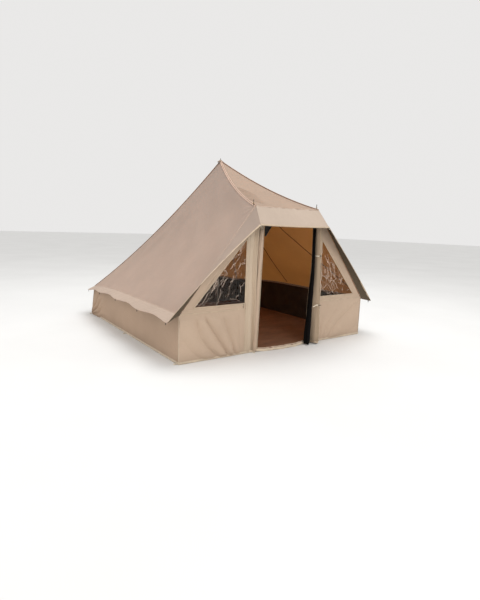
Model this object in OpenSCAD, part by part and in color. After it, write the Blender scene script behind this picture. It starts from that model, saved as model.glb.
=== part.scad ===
// Pyramid ("teepee") tent. A centre pole lifts the apex, and two shorter poles
// lift a short ridge over the door. The origin is on the ground under the apex,
// +Z is up, and the door end faces -Y. The right side mirrors the left side.

/* [Plan] */
// Width between the two side walls
tent_w = 3000; // [2700:50:3600]
// Depth from the door wall to the back wall
tent_d = 3200; // [2900:50:3800]

/* [Heights] */
// Height of the roof cloth at the apex
apex_h = 2500; // [2300:20:2800]
// Height of the short ridge over the door
ridge_h = 1775; // [1700:5:1900]
// Height of the walls up to the eave
wall_h = 565; // [480:5:640]

/* [Door end] */
// Distance between the two front poles
pole_gap = 1034; // [980:2:1100]
// Reach of the hood in front of the door wall
hood_reach = 170; // [120:10:220]
// Drop of the hood's front edge below the ridge
hood_drop = 222; // [180:2:260]
// Height of the door opening
door_h = 1690; // [1600:5:1700]
// Half width of the door opening at the ground
door_foot = 420; // [400:5:440]
// Half width of the door opening at its top
door_top = 380; // [360:5:400]
// Height of the window sills above the ground
window_sill = 625; // [610:5:640]
// Half distance between the two windows
window_in = 609; // [590:1:630]
// Half distance between the outer corners of the windows
window_out = 1320; // [1280:5:1330]
// Height of the window's upright edge
window_rise = 780; // [700:5:790]

/* [Cloth] */
// Thickness of the canvas panels
cloth_t = 4; // [3:0.5:5]
// Gap left between two panels along a seam
seam = 6; // [5:0.5:8]
// Width of the valance below the eave
valance_w = 170; // [120:10:200]
// Steps along each curved panel
steps = 8; // [6:2:12]

/* [Sag] */
// Drop of the back hips below a straight line
hip_sag = 110; // [60:10:130]
// Drop of the front hips below a straight line
front_sag = 75; // [40:5:90]
// Drop of the eave at the two back corners
corner_drop = 100; // [40:10:120]

/* [Poles] */
// Radius of the centre pole
pole_r = 16; // [14:1:20]
// Radius of the front poles
front_r = 12.5; // [11:0.5:16]
// Wall thickness of the pole tubes
tube_wall = 1.5; // [1:0.1:2]

/* [Hidden] */

$fn = 48;
hx = tent_w / 2;
hy = tent_d / 2;
canvas = "#bca690";
canvas_light = "#cdb89c";
dark_cloth = "#1c1815";
steel = "#8f9296";
webbing = "#3a332c";

// Corner points of the left side
apex = [0, 0, apex_h];
ridge = [-pole_gap / 2, -hy, ridge_h];
eave_front = [-hx, -hy, wall_h];
corner_in = 40;
eave_back = [corner_in - hx, hy - corner_in, wall_h - corner_drop];
hood_splay = 43;
hood_corner = ridge + [-hood_splay, -hood_reach, -hood_drop];
valance_drop = 62;
valance_front = 60;
hood_tip = eave_front + [-valance_w, -valance_front, -valance_drop];

// ---- Curves of the left side ----

function mix(a, b, t) = a + (b - a) * t;
function bow(t) = 4 * t * (1 - t);
function grid(n) = [for (i = [0 : n]) i / n];
// A share t of a span, kept a fixed distance inside both of its ends
function inset(t, length) = mix(seam / length, 1 - seam / length, t);

function front_hip(t) = mix(ridge, apex, t) + bow(t) * [-30, 0, -front_sag];
function back_hip(t) = mix(apex, eave_back, t) - [0, 0, bow(t) * hip_sag];
function gable_edge(t) = mix(ridge, eave_front, t);
// The eave is level, and drops and draws in only near the back corner
function eave(t) = mix(eave_front, [-hx, hy, wall_h], t)
    + pow(max(0, 2 * t - 1), 2) * [corner_in, -corner_in, -corner_drop];
// Coons patch between the four edge curves of the side of the roof
function roof_point(t, s) = mix(front_hip(t), eave(t), s) + mix(gable_edge(s), back_hip(s), t)
    - mix(mix(ridge, eave_front, s), mix(apex, eave_back, s), t);
// The free edge of the hood is drawn towards the cloth
function hood_edge(t) = mix(hood_corner, hood_tip, t) + bow(t) * [-20, 14, 14];
// Scallops between the loops, which stand a quarter of the side apart
function scallop(t, count) = 1 - 0.2 * pow(sin(180 * count * t), 2);
function valance_edge(t) = eave(t) + scallop(t, 4)
    * [-valance_w * (1 - 0.45 * t * t), valance_front * (pow(t, 6) - pow(1 - t, 6)), -valance_drop];

function back_eave(t) = [
    mix(eave_back[0], -eave_back[0], t),
    hy - corner_in * pow(2 * t - 1, 4),
    wall_h - corner_drop * pow(2 * t - 1, 4)];
function mirrored(p) = [-p[0], p[1], p[2]];
function back_point(t, s) = mix(back_hip(s), mirrored(back_hip(s)), t)
    + s * s * (back_eave(t) - mix(eave_back, mirrored(eave_back), t));
function back_edge(t) = back_eave(t) + scallop(t, 4)
    * [(2 * t - 1) * 70, valance_w * (1 - 0.6 * pow(2 * t - 1, 4)), -valance_drop];

// ---- Building blocks ----

function unit(v) = v / norm(v);
function panel_id(i, j, m) = i * m + j;
function quad(a, b, c, d) = [[a, b, c], [a, c, d]];
function turned(faces, flip) = [for (f = faces) flip ? [f[2], f[1], f[0]] : f];

// A cloth panel. rows holds the points of its outer face, and the cloth's
// thickness is added along inward: one direction, or one for each row.
module sheet(rows, inward, thick = cloth_t) {
    n = len(rows);
    m = len(rows[0]);
    k = n * m;
    inward_at = is_list(inward[0]) ? inward : [for (row = rows) inward];
    outer = [for (row = rows) for (p = row) p];
    inner = [for (i = [0 : n - 1]) for (p = rows[i]) p + thick * unit(inward_at[i])];
    across = rows[0][m - 1] - rows[0][0];
    down = rows[n - 1][0] - rows[0][0];
    skins = [for (i = [0 : n - 2]) for (j = [0 : m - 2])
        let (a = panel_id(i, j, m), b = a + 1, d = a + m, c = d + 1)
        concat(quad(a, b, c, d), quad(k + a, k + d, k + c, k + b))];
    ends = [for (j = [0 : m - 2])
        let (top = j, foot = panel_id(n - 1, j, m))
        concat(quad(top + 1, top, k + top, k + top + 1),
            quad(foot, foot + 1, k + foot + 1, k + foot))];
    sides = [for (i = [0 : n - 2])
        let (a = panel_id(i, 0, m), b = panel_id(i, m - 1, m))
        concat(quad(a, a + m, k + a + m, k + a),
            quad(b + m, b, k + b, k + b + m))];
    faces = [for (group = concat(skins, ends, sides)) for (f = group) f];
    polyhedron(concat(outer, inner), turned(faces, cross(across, down) * inward_at[0] < 0));
}

// A flat panel of the door wall, drawn as x and z in its plane
module door_wall_panel(outline, depth = 0, thick = cloth_t) {
    translate([0, depth - hy + thick, 0])
        rotate([90, 0, 0])
            linear_extrude(thick)
                polygon(outline);
}

module mirror_right() {
    mirror([1, 0, 0]) children();
}

// ---- Roof ----

pin_hole = 7;
front_y = -hy + 40;

// Cuts the three holes that the pole pins pass through
module pierced() {
    difference() {
        children();
        translate([0, 0, apex_h - 60])
            cylinder(r = pin_hole, h = 120);
        for (side = [-1, 1])
            translate([side * pole_gap / 2, front_y, ridge_h - 40])
                cylinder(r = pin_hole, h = 120);
    }
}

module roof_side() {
    hip_l = norm(apex - ridge);
    slope_l = norm(eave_front - ridge);
    color(canvas)
        pierced()
            sheet([for (s = grid(steps)) [for (t = grid(steps))
                roof_point(inset(t, hip_l), inset(s, slope_l))]], [0.78, 0.1, -0.62]);
}

module roof_left() {
    roof_side();
}

module roof_right() {
    mirror_right() roof_side();
}

module roof_front() {
    top_share = 0.96;
    low_share = seam / norm(apex - ridge);
    color(canvas)
        pierced()
            sheet([for (s = grid(steps)) let (edge = front_hip(mix(top_share, low_share, s)))
                [for (t = grid(4)) mix(edge, mirrored(edge), inset(t, -2 * edge[0]))]],
                [0, 0.41, -0.91]);
}

module roof_back() {
    top_share = 0.03;
    low_share = 1 - seam / norm(apex - eave_back);
    color(canvas)
        sheet([for (s = grid(steps)) let (row = mix(top_share, low_share, s))
            [for (t = grid(steps)) back_point(inset(t, -2 * back_hip(row)[0]), row)]],
            [0, -0.77, -0.63]);
}

// ---- Hood over the door ----

module hood_front() {
    lift = seam / norm([hood_reach, hood_drop]);
    top = mix(ridge, hood_corner, lift) + [seam, 0, 0];
    foot = hood_corner + [seam, 0, 0];
    color(canvas_light)
        sheet([[top, mirrored(top)], [foot, mirrored(foot)]], [0, hood_drop, -hood_reach]);
}

// The panel turns a quarter from the ridge pole to the eave, so each station has its own inner direction
module hood_side() {
    clear = [-seam, -seam, -seam];
    stations = [for (s = grid(steps)) 0.985 * s];
    color(canvas)
        sheet([for (s = stations) let (inner = gable_edge(s) + clear)
            [inner, mix(inner, hood_edge(s), 0.5), hood_edge(s)]],
            [for (s = stations) cross(hood_edge(s) - gable_edge(s), eave_front - ridge)]);
}

module hood_side_left() {
    hood_side();
}

module hood_side_right() {
    mirror_right() hood_side();
}

// ---- Valance ----

module valance_side() {
    start = 2 * seam / valance_w;
    ends = [0.012, 0.985];
    color(canvas)
        sheet([for (s = [start, 1]) [for (t = grid(2 * steps)) let (u = mix(ends[0], ends[1], t))
            mix(eave(u), valance_edge(u), s)]], [valance_drop, 0, -valance_w]);
}

module valance_left() {
    valance_side();
}

module valance_right() {
    mirror_right() valance_side();
}

module valance_back() {
    start = 2 * seam / valance_w;
    ends = [0.015, 0.985];
    color(canvas)
        sheet([for (s = [start, 1]) [for (t = grid(2 * steps)) let (u = mix(ends[0], ends[1], t))
            mix(back_eave(u), back_edge(u), s)]], [0, -valance_drop, -valance_w]);
}

// ---- Walls ----

wall_top = 2 * seam;

module wall_side() {
    color(canvas)
        sheet([[for (t = grid(steps)) eave(inset(t, tent_d)) - [0, 0, wall_top]],
            [for (t = grid(steps)) [-hx, mix(-hy, hy, inset(t, tent_d)), 0]]], [1, 0, 0]);
}

module wall_left() {
    wall_side();
}

module wall_right() {
    mirror_right() wall_side();
}

module wall_back() {
    side_gap = 2 * seam / tent_w;
    color(canvas)
        sheet([for (s = [0, 1]) [for (t = grid(steps)) let (u = mix(side_gap, 1 - side_gap, t))
            s == 0 ? back_eave(u) - [0, 0, wall_top] : [mix(-hx, hx, u), hy, 0]]],
            [0, -1, 0]);
}

// One dark skirt that lines the walls above the groundsheet
module wall_lining() {
    skin = 1.5;
    off = cloth_t + 10;
    foot_z = 6;
    top_gap = 2.5 * wall_top;
    from = 0.02;
    to = 0.97;
    color(dark_cloth) {
        for (side = [0, 1]) mirror([side, 0, 0]) {
            sheet([for (s = [0, 1]) [for (t = grid(steps)) let (u = mix(from, to, t))
                s == 0 ? eave(u) + [off, 0, -top_gap] : [off - hx, mix(-hy, hy, u), foot_z]]],
                [1, 0, 0], skin);
            translate([off + 2 * seam - hx, off - hy, foot_z])
                cube([hx - window_in - off - 3 * seam, skin, wall_h - top_gap - foot_z]);
        }
        sheet([for (s = [0, 1]) [for (t = grid(steps)) let (u = mix(1 - to, to, t))
            s == 0 ? back_eave(u) - [0, off, top_gap] : [mix(-hx, hx, u), hy - off, foot_z]]],
            [0, -1, 0], skin);
    }
}

// ---- Door wall ----

gable_slope = (ridge_h - wall_h) / (hx - pole_gap / 2);
gable_gap = 2.5 * seam;
// Height of the gable's sloping edge at a distance x from the middle
function gable_top(x) = wall_h + gable_slope * (hx - x) - gable_gap;

module front_wall() {
    color(canvas_light)
        door_wall_panel([[-hx + seam, 0], [-window_in - seam / 2, 0],
            [-window_in - seam / 2, wall_h - seam], [-hx + seam, wall_h - seam]]);
}

module front_wall_left() {
    front_wall();
}

module front_wall_right() {
    mirror_right() front_wall();
}

module window_outline(grow) {
    foot = window_sill - grow;
    outer = window_out + 2.4 * grow;
    inner = window_in + 2 * seam - grow;
    polygon([[-outer, foot], [-inner, foot],
        [-inner, foot + (outer - inner) * window_rise / (window_out - window_in)]]);
}

module gable() {
    edge = window_in + seam / 2;
    low = wall_h + seam / 2;
    color(canvas_light)
        translate([0, cloth_t - hy, 0])
            rotate([90, 0, 0])
                linear_extrude(cloth_t)
                    difference() {
                        polygon([[-hx + 3 * seam, low], [-edge, low], [-edge, gable_top(edge)]]);
                        window_outline(0);
                    }
}

module gable_left() {
    gable();
}

module gable_right() {
    mirror_right() gable();
}

module pane() {
    film_t = 1;
    overlap = 10;
    color("#5a5048", 0.5)
        translate([0, cloth_t + 0.5 + film_t - hy, 0])
            rotate([90, 0, 0])
                linear_extrude(film_t)
                    window_outline(overlap);
}

module window_left() {
    pane();
}

module window_right() {
    mirror_right() pane();
}

module jamb() {
    outer = window_in - seam / 2;
    head = ridge_h - gable_gap;
    color(canvas_light)
        door_wall_panel([[-outer, 0], [-door_foot, 0], [-door_top, door_h], [-door_top, head],
            [-pole_gap / 2, head], [-outer, gable_top(outer)]]);
}

module jamb_left() {
    jamb();
}

module jamb_right() {
    mirror_right() jamb();
}

module door_lintel() {
    half = door_top - seam;
    color(canvas_light)
        door_wall_panel([[-half, door_h], [half, door_h],
            [half, ridge_h - gable_gap], [-half, ridge_h - gable_gap]]);
}

module door_sill() {
    sill_h = 45;
    sill_bow = 60;
    half = door_foot + 12;
    color("#d6c4ae")
        sheet([for (z = [sill_h, 0]) [for (t = grid(steps))
            [mix(-half, half, t), -hy - 6 - sill_bow * bow(t), z]]], [0, 1, 0]);
}

module groundsheet() {
    sheet_t = 3;
    margin = 2.5 * seam;
    color("#4e2f22")
        translate([margin - hx, margin - hy, 0])
            cube([tent_w - 2 * margin, tent_d - 2 * margin, sheet_t]);
}

// ---- Rolled door ----

// Heights of the two ties, and where the canvas roll hangs at each
tie_z = [531, 1186];
tie_at = [[535, -hy - 62], [505, -hy - 60]];
tie_gap = 14;

// A bundle that hangs along a bent line: rings are [x, y, height, radius], from its foot up
module bundle(rings) {
    sides = 32;
    top = (len(rings) - 1) * sides;
    polyhedron(
        [for (r = rings) for (k = [0 : sides - 1])
            [r[0] + r[3] * cos(360 * k / sides), r[1] + r[3] * sin(360 * k / sides), r[2]]],
        concat([[for (k = [0 : sides - 1]) k]],
            [for (i = [0 : len(rings) - 2]) for (k = [0 : sides - 1])
                let (a = i * sides + k, b = i * sides + (k + 1) % sides)
                    [a, a + sides, b + sides, b]],
            [[for (k = [sides - 1 : -1 : 0]) top + k]]));
}

// The canvas roll's two rings just below and above a tie
function tied(k, r) = [for (side = [-1, 1]) [tie_at[k][0], tie_at[k][1], tie_z[k] + side * tie_gap, r]];

module door_roll() {
    color(canvas_light)
        bundle(concat([[520, -hy - 80, 14, 36], [522, -hy - 76, 60, 52], [530, -hy - 66, 300, 48]],
            tied(0, 38), [[520, -hy - 62, 900, 42]], tied(1, 34),
            [[495, -hy - 58, 1400, 30], [490, -hy - 56, 1550, 26]]));
}

module mesh_roll() {
    color(dark_cloth)
        bundle([[400, -hy - 84, 12, 24], [402, -hy - 80, 60, 42], [414, -hy - 64, 300, 38],
            [425, -hy - 54, 517, 27], [425, -hy - 54, 545, 27], [434, -hy - 50, 900, 30],
            [440, -hy - 48, 1172, 18], [440, -hy - 48, 1200, 18], [438, -hy - 46, 1400, 15],
            [436, -hy - 44, 1590, 12]]);
}

tie_r = 41.5;
tie_band = 2;

module door_ties() {
    tie_w = 18;
    color(webbing)
        for (k = [0, 1])
            translate([tie_at[k][0], tie_at[k][1], tie_z[k] - tie_w / 2])
                rotate_extrude()
                    translate([tie_r - tie_band / 2, 0])
                        square([tie_band, tie_w]);
}

module tie_toggles() {
    toggle_r = 6;
    toggle_l = 44;
    color("#6b5a48")
        for (k = [0, 1])
            translate([tie_at[k][0], tie_at[k][1] - tie_r - tie_band - toggle_r, tie_z[k]])
                rotate([0, 90, 0])
                    cylinder(r = toggle_r, h = toggle_l, center = true);
}

// ---- Zips on the left jamb ----

zip_low = 45;
zip_high = 1655;
slider_z = 1610;
zip_lean = atan((door_foot - door_top) / door_h);
canvas_zip_y = -hy - 2;
mesh_zip_y = -hy + 14;
coil_w = 6;
coil_t = 3;
coil_x = 9;
slider_w = 11;
slider_l = 20;
slider_t = 9;
pin_r = 1;
pin_off = slider_t / 2 + 2.8;
pull_w = 7;

// Moves a piece from the zip's own frame to height z on the left jamb's edge.
// In that frame +Z runs up the zip and +X points into the opening.
module on_zip(y, z) {
    translate([-door_foot, y, 0])
        rotate([0, zip_lean, 0])
            translate([coil_x, 0, z])
                children();
}

module zip_chain(y) {
    tape_w = 22;
    tape_t = 1;
    color(webbing)
        on_zip(y, zip_low) {
            translate([-coil_w / 2, -coil_t / 2, 0])
                cube([coil_w, coil_t, zip_high - zip_low]);
            translate([-coil_w / 2 - tape_w, -tape_t / 2, 0])
                cube([tape_w + 1, tape_t, zip_high - zip_low]);
        }
}

module slider_body() {
    coil_gap = 0.4;
    lug_w = 1.6;
    lug_h = pin_off + 2 - slider_t / 2;
    color(steel) {
        difference() {
            translate([-slider_w / 2, -slider_t / 2, -slider_l / 2])
                cube([slider_w, slider_t, slider_l]);
            translate([-coil_w / 2 - coil_gap, -coil_t / 2 - coil_gap, -slider_l])
                cube([coil_w + 2 * coil_gap, coil_t + 2 * coil_gap, 2 * slider_l]);
            translate([-slider_w, -0.9, -slider_l])
                cube([slider_w, 1.8, 2 * slider_l]);
        }
        for (side = [-1, 1])
            translate([side * (slider_w - lug_w) / 2 - lug_w / 2, -pin_off - 2, -2])
                cube([lug_w, lug_h, 4]);
        translate([-slider_w / 2, -pin_off, 0])
            rotate([0, 90, 0])
                cylinder(r = pin_r, h = slider_w);
    }
}

module pull_tab() {
    tab_l = 34;
    tab_t = 1.8;
    eye_r = 2.2;
    eye_gap = 0.3;
    color(steel)
        translate([0, -pin_off, 0])
            difference() {
                union() {
                    translate([-pull_w / 2, 0, 0])
                        rotate([0, 90, 0])
                            cylinder(r = eye_r, h = pull_w);
                    translate([-pull_w / 2, -tab_t / 2, -tab_l])
                        cube([pull_w, tab_t, tab_l]);
                }
                translate([-pull_w, 0, 0])
                    rotate([0, 90, 0])
                        cylinder(r = pin_r + eye_gap, h = 2 * pull_w);
            }
}

module canvas_zip_chain() {
    zip_chain(canvas_zip_y);
}

module canvas_zip_slider() {
    on_zip(canvas_zip_y, slider_z) slider_body();
}

module canvas_zip_pull() {
    on_zip(canvas_zip_y, slider_z) pull_tab();
}

module mesh_zip_chain() {
    zip_chain(mesh_zip_y);
}

module mesh_zip_slider() {
    on_zip(mesh_zip_y, slider_z) mirror([0, 1, 0]) slider_body();
}

module mesh_zip_pull() {
    on_zip(mesh_zip_y, slider_z) mirror([0, 1, 0]) pull_tab();
}

// ---- Poles ----

foot_h = 30;
foot_clear = 3.5;
spigot_l = 120;
spigot_gap = 0.3;
joint_gap = 0.5;
centre_top = apex_h - 45;
section_h = (centre_top - foot_h) / 3;
front_top = ridge_h - 25;
front_section = (front_top - foot_h) / 2;

// A pole section: a tube, with a narrower spigot that the next section slides over
module pole_section(low, high, r, spigot) {
    bore = r - tube_wall;
    color(steel)
        translate([0, 0, low])
            difference() {
                union() {
                    cylinder(r = r, h = high - low - joint_gap);
                    if (spigot)
                        cylinder(r = bore - spigot_gap, h = high - low + spigot_l);
                }
                translate([0, 0, -1])
                    cylinder(r = bore, h = high - low - joint_gap - 20);
            }
}

module pole_foot(r) {
    rim = 3;
    plug = r - tube_wall - spigot_gap;
    plug_l = 25;
    color("#202020") {
        translate([0, 0, foot_clear])
            cylinder(r = r + rim, h = foot_h - foot_clear - joint_gap);
        translate([0, 0, foot_clear])
            cylinder(r = plug, h = foot_h + plug_l - foot_clear);
    }
}

module centre_pole_lower() {
    pole_section(foot_h, foot_h + section_h, pole_r, true);
}

module centre_pole_middle() {
    pole_section(foot_h + section_h, foot_h + 2 * section_h, pole_r, true);
}

module centre_pole_upper() {
    pole_section(foot_h + 2 * section_h, foot_h + 3 * section_h, pole_r, false);
}

module centre_pole_foot() {
    pole_foot(pole_r);
}

spike_r = 4;

module spike(base, top) {
    color(steel)
        translate([0, 0, base]) {
            cylinder(r = spike_r, h = top - base);
            translate([0, 0, top - base])
                cylinder(r1 = spike_r, r2 = spike_r / 2, h = 4);
        }
}

module apex_pin() {
    spike(centre_top + joint_gap, apex_h + 32);
}

module apex_cap() {
    cap_r = 46;
    cap_rise = 14;
    fall = 34;
    bore = spike_r + 1;
    color("#8d7f70")
        translate([0, 0, apex_h + cap_rise])
            rotate_extrude()
                polygon([[bore, 0], [cap_r * 0.25, -2], [cap_r, -fall],
                    [cap_r - 3, -fall], [cap_r * 0.25 - 2, -5], [bore, -5]]);
}

module front_pole_at(side) {
    translate([side * pole_gap / 2, front_y, 0]) children();
}

module front_pole_left_lower() {
    front_pole_at(-1) pole_section(foot_h, foot_h + front_section, front_r, true);
}

module front_pole_left_upper() {
    front_pole_at(-1) pole_section(foot_h + front_section, front_top, front_r, false);
}

module front_pole_right_lower() {
    front_pole_at(1) pole_section(foot_h, foot_h + front_section, front_r, true);
}

module front_pole_right_upper() {
    front_pole_at(1) pole_section(foot_h + front_section, front_top, front_r, false);
}

module front_pole_feet() {
    for (side = [-1, 1])
        front_pole_at(side) pole_foot(front_r);
}

module ridge_pins() {
    for (side = [-1, 1])
        front_pole_at(side) spike(front_top + joint_gap, ridge_h + 70);
}

module ridge_eyelets() {
    eyelet_r = 11;
    color("#b59a5a")
        for (side = [-1, 1])
            front_pole_at(side)
                translate([0, 0, ridge_h + 31])
                    rotate_extrude()
                        translate([eyelet_r, 0])
                            circle(r = 2.5);
}

// ---- Loops ----

module ring(r, wire) {
    rotate_extrude($fn = 32)
        translate([r, 0])
            circle(r = wire, $fn = 16);
}

module valance_loops() {
    loop_r = 9;
    wire = 2;
    hang = 18;
    color(webbing) {
        for (side = [0, 1]) mirror([side, 0, 0])
            for (t = [0.012, 0.25, 0.5, 0.75, 0.985])
                translate(valance_edge(t) - [-4, 0, hang])
                    rotate([90, 0, 90])
                        ring(loop_r, wire);
        for (t = [0.25, 0.5, 0.75])
            translate(back_edge(t) - [0, 4, hang])
                rotate([90, 0, 0])
                    ring(loop_r, wire);
    }
}

module peg_loop() {
    loop_w = 24;
    loop_l = 46;
    loop_t = 3;
    eye_r = 7;
    difference() {
        union() {
            translate([0, -loop_w / 2, 0])
                cube([loop_l - loop_w / 2, loop_w, loop_t]);
            translate([loop_l - loop_w / 2, 0, 0])
                cylinder(d = loop_w, h = loop_t);
        }
        translate([loop_l - loop_w / 2, 0, -1])
            cylinder(r = eye_r, h = loop_t + 2);
    }
}

// Places a peg loop at [x, y] that points along the given heading
module peg_loop_at(x, y, heading) {
    translate([x, y, 0]) rotate([0, 0, heading]) peg_loop();
}

module peg_loops() {
    off = 1;
    color("#d9cdb8") {
        for (share = [-0.49, 0, 0.49]) {
            peg_loop_at(hx + off, share * tent_d, 0);
            peg_loop_at(-hx - off, share * tent_d, 180);
            peg_loop_at(share * tent_w, hy + off, 90);
        }
        for (x = [-door_foot - 60, door_foot + 150])
            peg_loop_at(x, -hy - off, -90);
    }
}

roof_left();
roof_right();
roof_front();
roof_back();
hood_front();
hood_side_left();
hood_side_right();
valance_left();
valance_right();
valance_back();
wall_left();
wall_right();
wall_back();
wall_lining();
front_wall_left();
front_wall_right();
gable_left();
gable_right();
window_left();
window_right();
jamb_left();
jamb_right();
door_lintel();
door_sill();
groundsheet();
door_roll();
mesh_roll();
door_ties();
tie_toggles();
canvas_zip_chain();
canvas_zip_slider();
canvas_zip_pull();
mesh_zip_chain();
mesh_zip_slider();
mesh_zip_pull();
apex_cap();
apex_pin();
centre_pole_upper();
centre_pole_middle();
centre_pole_lower();
centre_pole_foot();
front_pole_left_upper();
front_pole_left_lower();
front_pole_right_upper();
front_pole_right_lower();
front_pole_feet();
ridge_pins();
ridge_eyelets();
valance_loops();
peg_loops();
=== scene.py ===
"""Looks of the teepee tent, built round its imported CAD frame. Lengths in metres."""

import math

import bpy
import numpy as np
from mathutils import Matrix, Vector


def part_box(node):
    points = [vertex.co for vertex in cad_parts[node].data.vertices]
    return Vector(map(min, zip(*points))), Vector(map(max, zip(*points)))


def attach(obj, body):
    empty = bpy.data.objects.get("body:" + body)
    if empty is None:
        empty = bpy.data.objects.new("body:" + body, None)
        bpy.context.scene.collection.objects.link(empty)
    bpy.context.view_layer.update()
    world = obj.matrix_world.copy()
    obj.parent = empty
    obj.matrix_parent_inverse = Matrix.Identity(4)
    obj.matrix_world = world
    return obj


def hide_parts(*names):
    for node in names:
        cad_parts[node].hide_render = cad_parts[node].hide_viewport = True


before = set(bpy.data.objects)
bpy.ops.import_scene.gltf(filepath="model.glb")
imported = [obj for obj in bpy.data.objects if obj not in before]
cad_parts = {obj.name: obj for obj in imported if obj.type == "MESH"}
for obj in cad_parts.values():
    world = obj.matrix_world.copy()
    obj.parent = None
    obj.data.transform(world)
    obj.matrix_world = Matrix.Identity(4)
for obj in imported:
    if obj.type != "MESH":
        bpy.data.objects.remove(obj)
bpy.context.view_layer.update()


def vec(*values):
    return np.array(values, float)


def centre(node):
    low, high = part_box(node)
    return vec(*((low + high) / 2))


# ---- Sizes ----

HALF_W = 1.5
HALF_D = 1.6
WALL_H = 0.565
POLE_X = -centre("front_pole_left_lower")[0]
APEX = vec(0, 0, 2.5)
RIDGE = vec(-POLE_X, -HALF_D, 1.775)
EAVE_FRONT = vec(-HALF_W, -HALF_D, WALL_H)
EAVE_BACK = vec(-1.46, 1.56, 0.465)
HOOD_CORNER = vec(-0.560, -1.77, 1.553)
HOOD_TIP = vec(-1.67, -1.66, 0.503)
WINDOW_FOOT = 0.625
WINDOW_OUT = 1.320
WINDOW_IN = 0.621
WINDOW_HEAD = 1.392
PANEL_EDGE = 0.612
DOOR_FOOT = 0.42
DOOR_TOP = 0.38
DOOR_H = 1.69
HEAD_H = 1.76
CLOTH = 0.0024
LINING = 0.0012   # thickness of the inner cloths
FACE_Y = -1.6012   # where trims lie on the front walls
TIE_LOW, TIE_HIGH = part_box("door_ties")
TIES = [vec(TIE_HIGH[0] - 0.0415, -HALF_D - 0.062, TIE_LOW[2] + 0.009),
        vec(TIE_LOW[0] + 0.0415, -HALF_D - 0.060, TIE_HIGH[2] - 0.009)]


# ---- Shape helpers ----

def mix(a, b, t):
    return a + (b - a) * np.asarray(t, float)[..., None]


def bow(t):
    return 4 * t * (1 - t)


def smooth(x, low, high):
    x = np.clip((np.asarray(x, float) - low) / (high - low), 0, 1)
    return x * x * (3 - 2 * x)


def hump(x, at, width):
    return np.exp(-(((x - at) / width) ** 2))


def unit(v):
    return v / np.maximum(np.linalg.norm(v, axis=-1, keepdims=True), 1e-9)


def grid(n, m):
    return np.meshgrid(np.linspace(0, 1, n), np.linspace(0, 1, m), indexing="ij")


def mirrored(points):
    return points * vec(-1, 1, 1)

def xyz(x, y, z):
    """Points from three coordinates, each a number or an array."""
    return np.stack(np.broadcast_arrays(x, y, z), -1)

def mix1(a, b, t):
    return a + (b - a) * t

def scaled(offset, amount):
    """An offset in proportion to amount, at each point of a curve."""
    return np.asarray(amount, float)[..., None] * offset


def ripple(u, v, seed, shortest, longest, heading=0.0, spread=math.pi, count=16):
    """Smooth noise of about -1 to 1 over two lengths. heading is the direction across its folds."""
    rng = np.random.default_rng(seed)
    total, power = 0.0, 0.0
    for _ in range(count):
        length = shortest * (longest / shortest) ** rng.random()
        angle = heading + spread * (rng.random() - 0.5)
        weight = math.sqrt(length / longest)
        phase = 2 * math.pi * rng.random()
        total = total + weight * np.sin(
            2 * math.pi * (u * math.cos(angle) + v * math.sin(angle)) / length + phase)
        power += weight * weight / 2
    return total / math.sqrt(power) / 1.6


def pucker(along, away, seed, pitch, depth, reach):
    """Short creases that run away from a row of stitches."""
    wobble = ripple(along, away * 0.3, seed, 4 * pitch, 12 * pitch, count=6)
    crease = np.sin(2 * math.pi * along / pitch + 2.2 * wobble) * (0.6 + 0.4 * wobble)
    return depth * crease * np.exp(-away / reach)


# ---- Curves of the tent ----

def front_hip(t):
    return mix(RIDGE, APEX, t) + scaled(vec(-0.03, 0, -0.075), bow(t))


def back_hip(t):
    return mix(APEX, EAVE_BACK, t) - scaled(vec(0, 0, 0.11), bow(t))


def gable_edge(t):
    return mix(RIDGE, EAVE_FRONT, t)


def eave(t):
    drop = np.maximum(0, 2 * t - 1) ** 2
    return mix(EAVE_FRONT, vec(-HALF_W, HALF_D, WALL_H), t) + scaled(vec(0.04, -0.04, -0.1), drop)


def scallop(t, count):
    return 1 - 0.2 * np.sin(math.pi * count * t) ** 2


def valance_edge(t):
    out = xyz(-0.17 * (1 - 0.45 * t * t), 0.06 * (t ** 6 - (1 - t) ** 6), -0.062)
    corner = (1 - smooth(t, 0, 0.06))[..., None] * (HOOD_TIP - EAVE_FRONT - vec(-0.17, -0.06, -0.062))
    return eave(t) + scallop(t, 4)[..., None] * out + corner


def back_eave(t):
    c = (2 * t - 1) ** 4
    return xyz(-1.46 + 2.92 * t, HALF_D - 0.04 * c, WALL_H - 0.1 * c)


def back_edge(t):
    c = (2 * t - 1) ** 4
    out = xyz(0.0935 * (2 * t - 1), 0.17 * (1 - 0.647 * c), -0.062)
    return back_eave(t) + scallop(t, 4)[..., None] * out


def hood_edge(t):
    return mix(HOOD_CORNER, HOOD_TIP, t) + scaled(vec(-0.02, 0.014, 0.014), bow(t))


def gable_top(x):
    return WALL_H + 1.231 * (HALF_W - x) - 0.015


def roof_side_point(t, s):
    corners = mix(mix(RIDGE, EAVE_FRONT, s), mix(APEX, EAVE_BACK, s), t)
    return mix(front_hip(t), eave(t), s) + mix(gable_edge(s), back_hip(s), t) - corners


def roof_back_point(t, s):
    hip = back_hip(s)
    flat = mix(EAVE_BACK, mirrored(EAVE_BACK), t)
    return mix(hip, mirrored(hip), t) + (s * s)[..., None] * (back_eave(t) - flat)


# ---- Mesh building ----

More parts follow.
